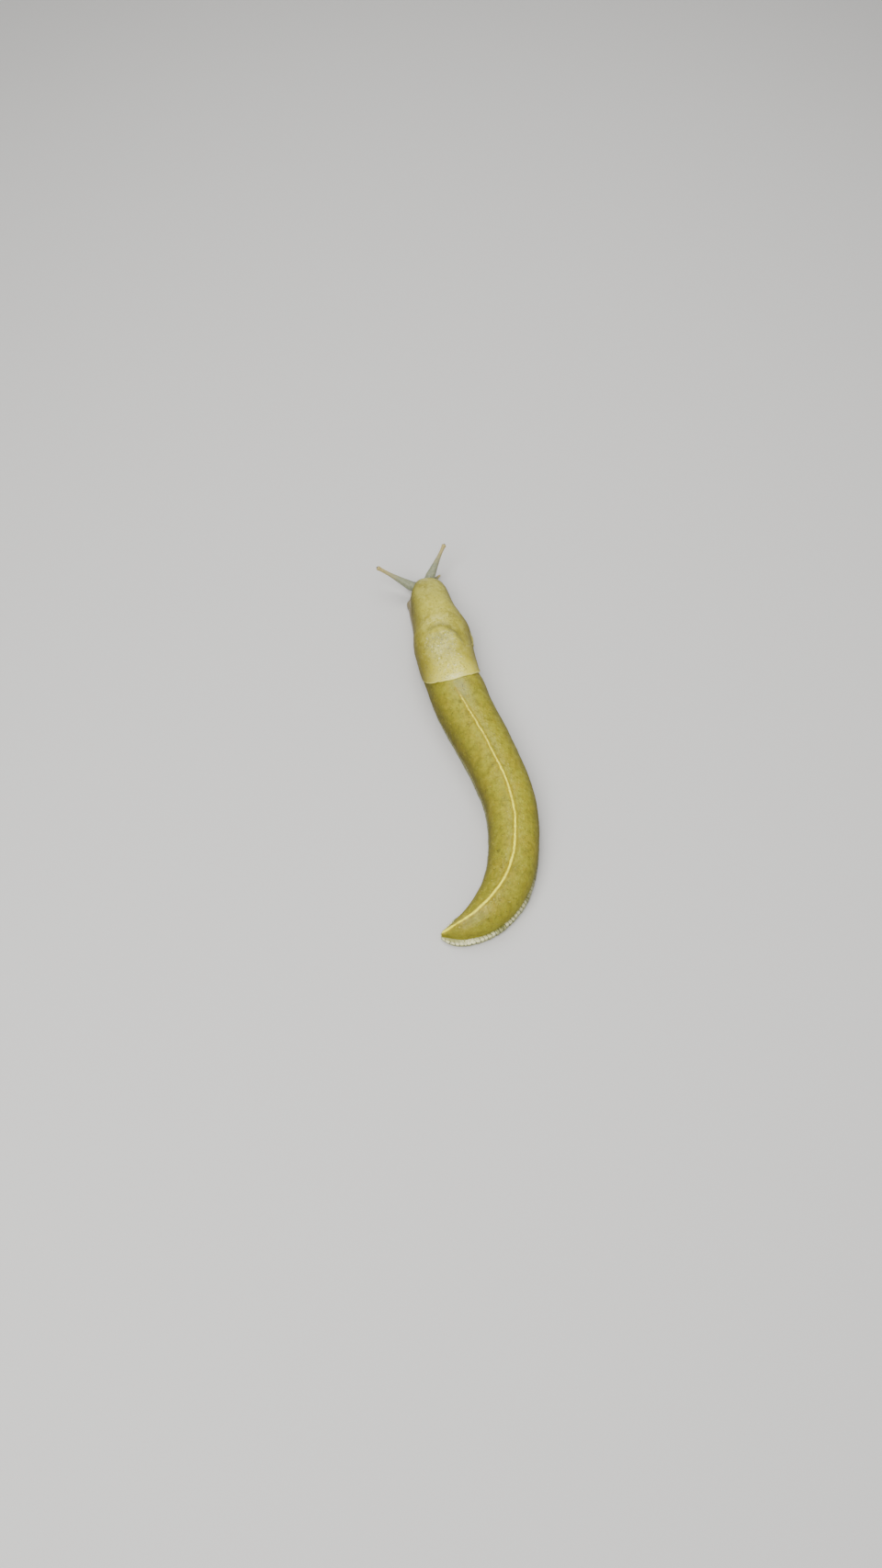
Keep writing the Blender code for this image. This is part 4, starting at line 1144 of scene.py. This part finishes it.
# Kinds of finish. Patterns: size in millimetres (or length and width on the skin), detail, roughness, and
# none of these two for scattered spots. Sums, rough and relief: a base, and weights of named values.
# Layers: mask, pattern, level where it starts, level where it is full, fading low on the sides, strength
# and colour.
FLECKED = 3.0, 0.68
FACE = {
    "patterns": {"face patch": (0.9, 2.0, 0.5), "face flecks": (0.7, *FLECKED)},
    "layers": (
        (None, "face patch", 0.45, 0.7, 0, 0.5, "feeler_pale_colour"),
        (None, "face flecks", 0.56, 0.68, 0, 0.35, "head_colour"),
    ),
}
BACK = {
    "patterns": {
        "broad": (6.5, 2.0, 0.5), "patch": (1.9, 3.0, 0.6), "fine": (0.6, 2.0, 0.6),
        "grain": ((0.5, 0.4), None, None),
        "gold flecks": (1.5, *FLECKED), "pale flecks": (0.95, *FLECKED), "dark flecks": (1.15, *FLECKED),
        "ragged": ((1.1, 0.5), 3.0, 0.65), "gaps": ((1.6, 1.2), 2.0, 0.5),
    },
    "sums": {
        "ridge": (-0.425, {"keel": 1.0, "ragged": 0.85}),
        "dark spot": (-0.8, {"spot": 1.0, "patch": 1.6}),
        # Painted light and shade on the tail: lighter on the right side than on the left
        "rear lit": (0.65, {"right": 0.3}),
        "rear dim": (0.4, {"right": -0.1}),
        "uneven": (-0.15, {"broad": 0.3}),
    },
    "layers": (
        # Painted shade: the skin darkened low on the sides
        (None, "shaded", -0.05, 1.05, 0, 1.0, "flank_painted_shade_colour"),
        (None, "broad", 0.44, 0.7, 0.7, 0.5, "warm_colour"),
        (None, "patch", 0.48, 0.66, 0, 0.6, "shade_colour"),
        (None, "patch", 0.5, 0.32, 1.0, 0.5, "pale_colour"),
        (None, "fine", 0.5, 0.72, 0, 0.35, "shade_colour"),
        # Painted shade in the grooves between the bumps
        ("groove", None, 0, 1, 0, 0.25, "shade_colour"),
        # Painted sheen: a grey patch beside the keel behind the mantle, which is also made less rough
        ("painted_grey_sheen", None, 0, 1, 0, 0.65, "painted_grey_sheen_colour"),
        (None, "gold flecks", 0.5, 0.68, 0.85, 0.55, "warm_colour"),
        (None, "pale flecks", 0.61, 0.7, 0.8, 0.6, "fleck_colour"),
        (None, "dark flecks", 0.61, 0.7, 0, 0.6, "speck_colour"),
        (None, "dark spot", 0.85, 0.35, 0, 0.5, "speck_colour"),
        ("front", None, 0, 1, 0, 0.85, "head_colour"),
    ),
    "keel": (
        (None, "ridge", -0.85, 0.0, 0, 0.6, "border_colour"),
        ("unbroken", "ridge", -0.14, 0.28, 0, 1.0, "keel_colour"),
        ("mouth", None, 0, 1, 0, 1.0, "mouth_colour"),
    ),
    "rough": (0.25, {"patch": 0.3, "groove": 0.1, "painted_grey_sheen": -0.08, "low": 0.4}),
    "relief": (0.0, {"grain": -0.04, "fine": 0.05}),
}
MANTLE = {
    "patterns": {
        "broad": (6.0, 2.0, 0.5), "patch": (1.7, 3.0, 0.6), "fine": (0.55, 2.0, 0.6),
        "grain": ((0.5, 0.45), None, None), "streak": ((2.0, 0.7), 3.0, 0.65),
        "gold flecks": (1.6, *FLECKED), "shade flecks": (1.3, *FLECKED), "pale flecks": (1.0, *FLECKED),
        "dark flecks": ((0.9, 0.6), *FLECKED), "glint flecks": (0.85, *FLECKED),
    },
    "sums": {
        "shaded": (-0.175, {"low": 1.0, "broad": 0.35}),
        "golden": (-0.3, {"back": 0.8, "low": 0.5, "broad": 0.6}),
        "mottled": (0.0, {"broad": 0.5, "patch": 0.5}),
        "silvery": (0.0, {"patch": 0.6, "fine": 0.4}),
        "greyish": (0.0, {"patch": 1.0, "fine": 1.0}),
        "rearward": (-0.2, {"back": 1.0, "patch": 0.4}),
        "speckled": (0.35, {"middle": 0.4}),
        "fleck level": (0.6, {"middle": -0.04}),
    },
    "layers": (
        # Painted shade: the mantle darkened low on its sides
        (None, "shaded", 0.0, 0.88, 0, 1.0, "mantle_side_painted_shade_colour"),
        (None, "golden", 0.35, 1.0, 0.8, 0.65, "mantle_warm_colour"),
        (None, "back", 0.35, 0.05, 1.0, 0.75, "mantle_front_colour"),
        (None, "mottled", 0.46, 0.66, 0, 0.6, "mantle_shade_colour"),
        # Painted sheen: pale silvery patches on top, over the bright patches and in the glossy middle, and
        # grey sheen in the middle
        (None, "patch", 0.52, 0.25, 1.0, 0.4, "painted_sheen_colour"),
        ("bright", "silvery", 0.62, 0.42, 0, 0.75, "painted_sheen_colour"),
        ("middle", "fine", 0.4, 0.62, 0, 0.7, "painted_sheen_colour"),
        ("middle", "greyish", 0.9, 1.25, 0, 0.6, "painted_grey_sheen_colour"),
        (None, "gold flecks", 0.48, 0.75, 0.8, 0.45, "mantle_warm_colour"),
        ("speckled", "shade flecks", 0.56, 0.72, 0, 1.0, "mantle_shade_colour"),
        (None, "fine", 0.5, 0.72, 0, 0.45, "mantle_shade_colour"),
        (None, "rearward", 0.74, 0.98, 1.0, 0.6, "mantle_rear_colour"),
        ("pale", None, 0, 1, 0.7, 0.7, "fleck_colour"),
        ("middle", "dark flecks", 0.56, 0.72, 0, 0.65, "speck_colour"),
        # Painted glints: bright flecks in the glossy middle
        ("middle", "glint flecks", 0.58, 0.7, 0, 0.85, "painted_glint_colour"),
        ("pit", None, 0, 1, 0, 0.6, "speck_colour"),
        # Partly painted shade: the arch fold darkened in a blotchy band, partly the skin's own dark mottling
        ("arch", "streak", 0.15, 0.55, 0, 0.65, "arch_mottle_and_shade_colour"),
        ("cleft", "streak", 0.3, 0.6, 0, 0.45, "fleck_colour"),
        # Painted highlight: a white streak on the middle of the mantle's rear rim
        ("rim_glint", "fine", 0.35, 0.6, 0, 0.8, "painted_glint_colour"),
        ("lip", None, 0, 1, 0, 0.35, "rim_colour"),
        # Painted highlight: a pale streak along the seam above the breathing hole
        ("seam_and_glint", "streak", 0.35, 0.6, 0, 0.7, "rim_colour"),
        ("uneven rim", None, 0, 1, 0, 1.0, "rim_colour"),
        # Painted shade: the breathing hole and its slit darkened almost to black
        ("hole", None, 0, 1, 0, 1.0, "hole_shade_colour"),
    ),
    "rough": (0.275, {"patch": 0.25, "middle": -0.12, "low": 0.4}),
    "relief": (0.0, {"grain": -0.04, "fine": 0.05, "beaded": 0.08}),
}
FOOT = {
    "patterns": {"patch": (1.6, 3.0, 0.5), "fine": (0.35, 2.0, 0.5), "streak": ((0.45, 6.0), 2.0, 0.6)},
    "sums": {
        "mixed": (-0.2, {"patch": 1.0, "bar": 0.4}),
        "glint": (-0.8, {"bar": 1.0, "streak": 1.6}),
        "patchy": (0.75, {"patch": 0.3}),
        "not in front": (1.0, {"front": -0.75}),
    },
    "layers": (
        (None, "mixed", 0.3, 0.7, 0, 1.0, "sole_colour"),
        (None, "streak", 0.5, 0.66, 0, 0.7, "fringe_groove_colour"),
        # Painted glints on the top of the bars
        ("top", "glint", 0.95, 0.55, 0, 0.7, "painted_glint_colour"),
        ("inside", None, 0, 1, 0, 0.75, "fringe_skin_colour"),
        ("dull", None, 0, 1, 0, 1.0, "dull_colour"),
        ("front", None, 0, 1, 0, 1.0, "lobe_colour"),
        ("not in front", "groove", 0.0, 0.8, 0, 0.9, "fringe_groove_colour"),
        # Painted highlight on the foot's top edge by the tail
        ("glinting", "fine", 0.35, 0.55, 0, 1.0, "painted_glint_colour"),
    ),
    "rough": (0.3, {"patch": 0.15}),
    "relief": (0.0, {"fine": 0.05}),
}
FEELER_SKIN = {
    "patterns": {"patch": (0.9, 2.0, 0.5), "fine": (0.25, 1.0, 0.5)},
    "sums": {"tipward": (-0.15, {"tip": 1.0, "patch": 0.3})},
    "layers": (
        (None, "tipward", 0.35, 0.95, 0, 1.0, "feeler_tip_colour"),
        # Painted shade in the grooves between the grain's bumps
        ("groove", None, 0, 1, 0, 0.12, "head_colour"),
    ),
    "rough": (0.3, {"patch": 0.15}),
    "relief": (0.0, {"fine": 0.03}),
}
EYE = {
    "patterns": {"patch": (0.3, 2.0, 0.5)},
    "layers": ((None, "ahead", 0.35, 0.7, 0, 1.0, "eye_colour"),),
    "rough": (0.1, {"patch": 0.1}),
}
FLOOR = {"patterns": {"patch": (40.0, 2.0, 0.5)}, "rough": (0.9, {})}
FLOOR_SHADE = (0.5, 0.5, 0.5)
FLOOR_PATCHES = 0.06


def face_colour(skin, look):
    """Grey-green colour of the face, which runs on over the roots of the feelers."""
    skin.add_patterns(FACE["patterns"])
    return skin.paint(look.feeler_colour, look, FACE["layers"])


def back_finish(look):
    """Olive skin, painted lighter on top and painted darker and browner low on the sides, with painted shade
    that is lighter on the tail's right side, mottled in soft patches, with golden, brown and pale flecks,
    dark specks and spots, painted shade in the grooves between the bumps, a painted grey sheen beside the
    keel behind the mantle, and the ragged pale keel between golden borders."""
    skin = Finish("back_skin", BACK, **MOIST)
    # Painted shade: darker low on the sides, and on the tail darker on the left than on the right
    lower = skin["low"] * (1 - skin["rear"] * skin["rear lit"])
    skin["shaded"] = lower + skin["rear"] * skin["rear dim"] + skin["uneven"]
    skin["unbroken"] = skin.step(skin["gaps"], 0.25, 0.6) * 0.45 + 0.55
    colour = skin.paint(look.back_colour, look, BACK["layers"])
    colour = skin.mix(skin["face"], colour, face_colour(skin, look))
    return skin.done(skin.paint(colour, look, BACK["keel"]))


def mantle_finish(look):
    """Paler skin, painted lighter on top and painted darker low on the sides: greenish and smooth in front,
    golden along the sides and rear, silvery with painted sheen, dark pits and bright beads with painted
    glints in the middle, with darker folds, partly painted shade along the arch, a cream rim with painted
    highlights on its rear middle and on the seam above the breathing hole, and the hole darkened with painted
    shade."""
    skin = Finish("mantle_skin", MANTLE, **{**MOIST, "Coat_Weight": 0.12})
    skin["pale"] = skin.step(skin["pale flecks"], skin["fleck level"], 0.7)
    skin["uneven rim"] = skin["rim"] * (skin.step(skin["patch"], 0.3, 0.6) * 0.5 + 0.45)
    skin["beaded"] = skin["middle"] * skin["fine"]
    return skin.done(skin.paint(look.mantle_colour, look, MANTLE["layers"]))


def foot_finish(look):
    """Grey-yellow foot, browner in front, with pale bars and darker grooves between them."""
    skin = Finish("foot_skin", FOOT, **{**MOIST, "Coat_Weight": 0.25})
    skin["top"] = skin.step(skin["edge"], 0.6, 1.0)
    skin["dull"] = (1 - skin["pale"]) * skin["patchy"]
    return skin.done(skin.paint(look.fringe_colour, look, FOOT["layers"]))


def feeler_finish(look):
    """Grey-green feelers with a soft grain, tan towards the tip."""
    skin = Finish("feeler_skin", FEELER_SKIN, **{**MOIST, "Subsurface_Weight": 0.3})
    return skin.done(skin.paint(face_colour(skin, look), look, FEELER_SKIN["layers"]))


def eye_finish(look):
    """Glossy black eye, a shade browner towards its root."""
    bead = Finish("eye_bead", EYE, Coat_Weight=1.0, Coat_Roughness=0.04)
    return bead.done(bead.paint(look.eye_root_colour, look, EYE["layers"]))


def floor_finish(stage):
    """Plain pale matt floor, whose far edge is lit as a backdrop is."""
    paper = Finish("floor_paper", FLOOR, Emission_Strength=1.0)
    paper.material.cycles.emission_sampling = "NONE"
    colour = paper.mix(paper["patch"] * FLOOR_PATCHES, stage.floor_colour, FLOOR_SHADE)
    glow = paper.mix(paper["far"], (0.0, 0.0, 0.0), stage.backdrop_light)
    return paper.done(colour, Emission_Color=glow)


# Camera of the photo, in millimetres, its focal length for a 36 mm sensor along the long side, and the
# distance in metres from which it sees.
CAMERA_PLACE = (-4.66, -244.36, 390.58)
CAMERA_AIM = (-4.66, -18.86, 0.0)
CAMERA_LENS = 28.81
CLIP_START = 0.01

# Floor and backdrop in metres, with the distance at which the backdrop is fully lit. Then lamps as name,
# place and target in millimetres, size in metres and power.
FLOOR_RINGS = (0.001, 0.3)
FLOOR_RADIUS, SWEEP_ROUND, SWEEP_TOP = 0.6, 1.5, 2.2
FAR_RADIUS = 1.65
SWEEP_ROWS, SWEEP_COLUMNS = 20, 96
FLOOR_UV = 4.0
LAMPS = (
    ("key", (-170, -300, 560), (0, -10, 0), 0.6, 5.6),
    ("sheen", (0, 330, 600), (0, -20, 0), 0.5, 3.0),
    ("fill", (420, -100, 400), (0, 0, 0), 0.5, 0.7),
)


def placed(name, data, spot, target):
    """Camera or lamp at a place, turned towards another."""
    thing = bpy.data.objects.new(name, data)
    bpy.context.scene.collection.objects.link(thing)
    thing.location = Vector(spot) * MM
    thing.rotation_mode = "QUATERNION"
    thing.rotation_quaternion = (Vector(target) * MM - thing.location).to_track_quat("-Z", "Y")
    return thing


def turned_piece(name, out, up, closed, material):
    """Stage piece turned round the upright axis from a profile in metres: out cos a, out sin a, up."""
    around = np.linspace(2 * np.pi, 0, SWEEP_COLUMNS, endpoint=False)
    out, up = out[:, None], up[:, None]
    points = np.stack(np.broadcast_arrays(out * np.cos(around), out * np.sin(around), up), axis=-1)
    index = np.arange(len(out) * SWEEP_COLUMNS).reshape(len(out), SWEEP_COLUMNS)
    quads = grid_quads(np.concatenate([index, index[:, :1]], axis=1))
    cap = index[:1, ::-1] if closed else NO_FANS
    points = points.reshape(-1, 3)
    far = smooth_step(np.hypot(points[:, 0], points[:, 1]), FLOOR_RADIUS, FAR_RADIUS)
    uv = points[:, :2] / FLOOR_UV + 0.5
    piece = new_piece(name, points / MM, quads, cap, uv, {"far": far}, material)
    return piece


def make_stage(stage):
    """Pale floor whose far edge curves up in a quarter circle, soft light and the camera."""
    turn = np.linspace(0, np.pi / 2, SWEEP_ROWS)
    out = FLOOR_RADIUS + SWEEP_ROUND * np.sin(turn)
    out = np.concatenate([FLOOR_RINGS, out, out[-1:]])
    up = np.concatenate([[0, 0], SWEEP_ROUND * (1 - np.cos(turn)), [SWEEP_TOP]])
    material = floor_finish(stage)
    turned_piece("floor", out[:3], up[:3], True, material)
    backdrop = turned_piece("backdrop", out[2:], up[2:], False, material)
    backdrop.visible_diffuse = backdrop.visible_glossy = backdrop.visible_shadow = False
    world = bpy.data.worlds.new("studio")
    world.use_nodes = True
    sky = world.node_tree.nodes["Background"]
    sky.inputs["Color"].default_value = (1.0, 1.0, 1.0, 1.0)
    sky.inputs["Strength"].default_value = stage.sky_strength
    bpy.context.scene.world = world
    for name, spot, target, size, power in LAMPS:
        lamp = bpy.data.lights.new(name, "AREA")
        lamp.shape = "DISK"
        lamp.size = size
        lamp.energy = power * stage.lamp_strength
        placed(name, lamp, spot, target)
    camera = placed("camera", bpy.data.cameras.new("camera"), CAMERA_PLACE, CAMERA_AIM)
    camera.data.lens = CAMERA_LENS
    camera.data.clip_start = CLIP_START
    bpy.context.scene.camera = camera


def colour_property(name, description, colour):
    """Colour that a user can change."""
    return bpy.props.FloatVectorProperty(name=name, description=description, default=colour, size=3,
                                         min=0.0, max=1.0, subtype="COLOR")


def length_property(name, description, millimetres):
    """Length that a user can change."""
    return bpy.props.FloatProperty(name=name, description=description, default=millimetres * MM, min=0.0,
                                   unit="LENGTH", precision=6)


class SlugLook(bpy.types.PropertyGroup):
    """Sizes of the skin's bumps, and its colours."""

    bump_length: length_property("Bump length", "Length of the low bumps of the back", 1.7)
    bump_width: length_property("Bump width", "Width of the low bumps of the back", 0.85)
    bump_height: length_property("Bump height", "Height of the low bumps of the back", 0.1)
    bar_pitch: length_property("Bar spacing", "Spacing of the upright bars round the foot", 1.15)
    # Painted light and shade: the back colour is the top of the trunk painted lighter, the flank colour is
    # painted shade low on the sides
    back_colour: colour_property("Back", "Skin on top of the trunk", (0.345, 0.325, 0.018))
    flank_painted_shade_colour: colour_property("Flank", "Skin low on the sides", (0.085, 0.073, 0.004))
    warm_colour: colour_property("Golden patches", "Golden patches and flecks", (0.36, 0.28, 0.012))
    # The shade colour darkens patches of the skin's own and is painted shade in the grooves between the bumps
    shade_colour: colour_property("Shade", "Darker patches and grooves", (0.16, 0.14, 0.010))
    pale_colour: colour_property("Pale patches", "Paler patches", (0.44, 0.41, 0.045))
    # Painted sheen: grey patches beside the keel and in the mantle's glossy middle
    painted_grey_sheen_colour: colour_property("Grey patches", "Greyer patches by the mantle", (0.33, 0.33, 0.10))
    speck_colour: colour_property("Specks", "Small dark specks and spots", (0.055, 0.045, 0.008))
    fleck_colour: colour_property("Flecks", "Small pale flecks", (0.58, 0.53, 0.10))
    border_colour: colour_property("Keel border", "Golden skin beside the keel", (0.34, 0.24, 0.010))
    keel_colour: colour_property("Keel", "Ridge along the back", (0.98, 0.93, 0.05))
    head_colour: colour_property("Head", "Head and neck", (0.19, 0.18, 0.08))
    mouth_colour: colour_property("Mouth", "Inside of the mouth", (0.11, 0.07, 0.055))
    # Painted light and shade: the mantle colour is its top painted lighter, the side colour is painted shade
    # low on its sides
    mantle_colour: colour_property("Mantle", "Top of the mantle", (0.52, 0.48, 0.055))
    mantle_side_painted_shade_colour: colour_property("Mantle side", "Sides of the mantle", (0.09, 0.074, 0.004))
    mantle_warm_colour: colour_property("Mantle gold", "Golden parts of the mantle", (0.40, 0.33, 0.010))
    mantle_rear_colour: colour_property("Mantle rear", "Golden rear of the mantle", (0.86, 0.77, 0.05))
    mantle_front_colour: colour_property("Mantle front", "Front of the mantle", (0.38, 0.36, 0.09))
    # Partly painted shade along the arch fold, partly its own dark mottling
    arch_mottle_and_shade_colour: colour_property("Arch", "Fold over the hidden shell", (0.14, 0.125, 0.02))
    mantle_shade_colour: colour_property("Mantle shade", "Darker patches of the mantle", (0.20, 0.17, 0.014))
    # Painted sheen of the mantle
    painted_sheen_colour: colour_property("Mantle pale", "Pale silvery patches of the mantle", (0.66, 0.63, 0.17))
    # Painted glints on the mantle, its rear rim and the foot
    painted_glint_colour: colour_property("Beads", "Bright wet beads", (0.95, 0.93, 0.55))
    rim_colour: colour_property("Rim", "Rim of the mantle and of the breathing hole", (0.85, 0.79, 0.20))
    # Painted shade inside the breathing hole
    hole_shade_colour: colour_property("Hole", "Inside of the breathing hole", (0.02, 0.016, 0.008))
    fringe_colour: colour_property("Fringe", "Bars round the foot", (0.36, 0.37, 0.11))
    sole_colour: colour_property("Sole", "Greyer parts of the foot", (0.25, 0.26, 0.08))
    lobe_colour: colour_property("Foot front", "Front of the foot", (0.20, 0.165, 0.085))
    dull_colour: colour_property("Foot", "Foot where it isn't pale", (0.17, 0.16, 0.05))
    fringe_skin_colour: colour_property("Fringe skin", "Skin over the pale bars", (0.30, 0.30, 0.045))
    fringe_groove_colour: colour_property("Fringe grooves", "Grooves between the bars", (0.085, 0.09, 0.03))
    feeler_colour: colour_property("Feeler root", "Lower part of the feelers", (0.22, 0.24, 0.15))
    feeler_tip_colour: colour_property("Feeler tip", "Upper part of the feelers", (0.42, 0.34, 0.13))
    feeler_pale_colour: colour_property("Feeler pale", "Pale patches of the feelers", (0.36, 0.37, 0.24))
    eye_colour: colour_property("Eye", "Front of the eyes", (0.006, 0.006, 0.006))
    eye_root_colour: colour_property("Eye root", "Back of the eyes", (0.03, 0.02, 0.012))


class SlugStage(bpy.types.PropertyGroup):
    """Floor and light."""

    floor_colour: colour_property("Floor", "Pale floor", (0.62, 0.61, 0.59))
    backdrop_light: colour_property("Backdrop light", "Light on the floor's far edge", (0.5, 0.5, 0.49))
    sky_strength: bpy.props.FloatProperty(name="Sky", description="Strength of the light from all round",
                                          default=0.25, min=0.0)
    lamp_strength: bpy.props.FloatProperty(name="Lamps", description="Strength of the lamps, as a share",
                                           default=1.0, min=0.0)


class SLUG_OT_body(bpy.types.Operator):
    """Builds the head, trunk and tail"""

    bl_idname = "slug.body"
    bl_label = "Head, trunk and tail"

    def execute(self, context):
        make_body(context.scene.slug_look)
        return {"FINISHED"}


class SLUG_OT_foot(bpy.types.Operator):
    """Builds the foot and its fringe"""

    bl_idname = "slug.foot"
    bl_label = "Foot"

    def execute(self, context):
        make_foot(context.scene.slug_look)
        return {"FINISHED"}


class SLUG_OT_mantle(bpy.types.Operator):
    """Builds the mantle with its breathing hole"""

    bl_idname = "slug.mantle"
    bl_label = "Mantle"

    def execute(self, context):
        make_mantle(context.scene.slug_look)
        return {"FINISHED"}


class SLUG_OT_feelers(bpy.types.Operator):
    """Builds the upper and lower feelers"""

    bl_idname = "slug.feelers"
    bl_label = "Feelers"

    def execute(self, context):
        make_feelers(context.scene.slug_look)
        return {"FINISHED"}


class SLUG_OT_eyes(bpy.types.Operator):
    """Builds the eyes"""

    bl_idname = "slug.eyes"
    bl_label = "Eyes"

    def execute(self, context):
        make_eyes(context.scene.slug_look)
        return {"FINISHED"}


class SLUG_OT_stage(bpy.types.Operator):
    """Builds the floor, lamps and camera"""

    bl_idname = "slug.stage"
    bl_label = "Stage"

    def execute(self, context):
        make_stage(context.scene.slug_stage)
        return {"FINISHED"}


OPERATORS = (SLUG_OT_body, SLUG_OT_foot, SLUG_OT_mantle, SLUG_OT_feelers, SLUG_OT_eyes, SLUG_OT_stage)


class SLUG_PT_panel(bpy.types.Panel):
    """Lists the slug's parts, sizes and colours"""

    bl_label = "Banana slug"
    bl_space_type = "VIEW_3D"
    bl_region_type = "UI"
    bl_category = "Slug"

    def draw(self, context):
        for operator in OPERATORS:
            self.layout.operator(operator.bl_idname)
        for group in (context.scene.slug_look, context.scene.slug_stage):
            for name in group.__annotations__:
                self.layout.prop(group, name)


CLASSES = (SlugLook, SlugStage, *OPERATORS, SLUG_PT_panel)


def register():
    for cls in CLASSES:
        bpy.utils.register_class(cls)
    bpy.types.Scene.slug_look = bpy.props.PointerProperty(type=SlugLook)
    bpy.types.Scene.slug_stage = bpy.props.PointerProperty(type=SlugStage)


def unregister():
    del bpy.types.Scene.slug_stage
    del bpy.types.Scene.slug_look
    for cls in reversed(CLASSES):
        bpy.utils.unregister_class(cls)


def main():
    register()
    bpy.ops.slug.body()
    bpy.ops.slug.foot()
    bpy.ops.slug.mantle()
    bpy.ops.slug.feelers()
    bpy.ops.slug.eyes()
    bpy.ops.slug.stage()


if __name__ == "__main__":
    main()
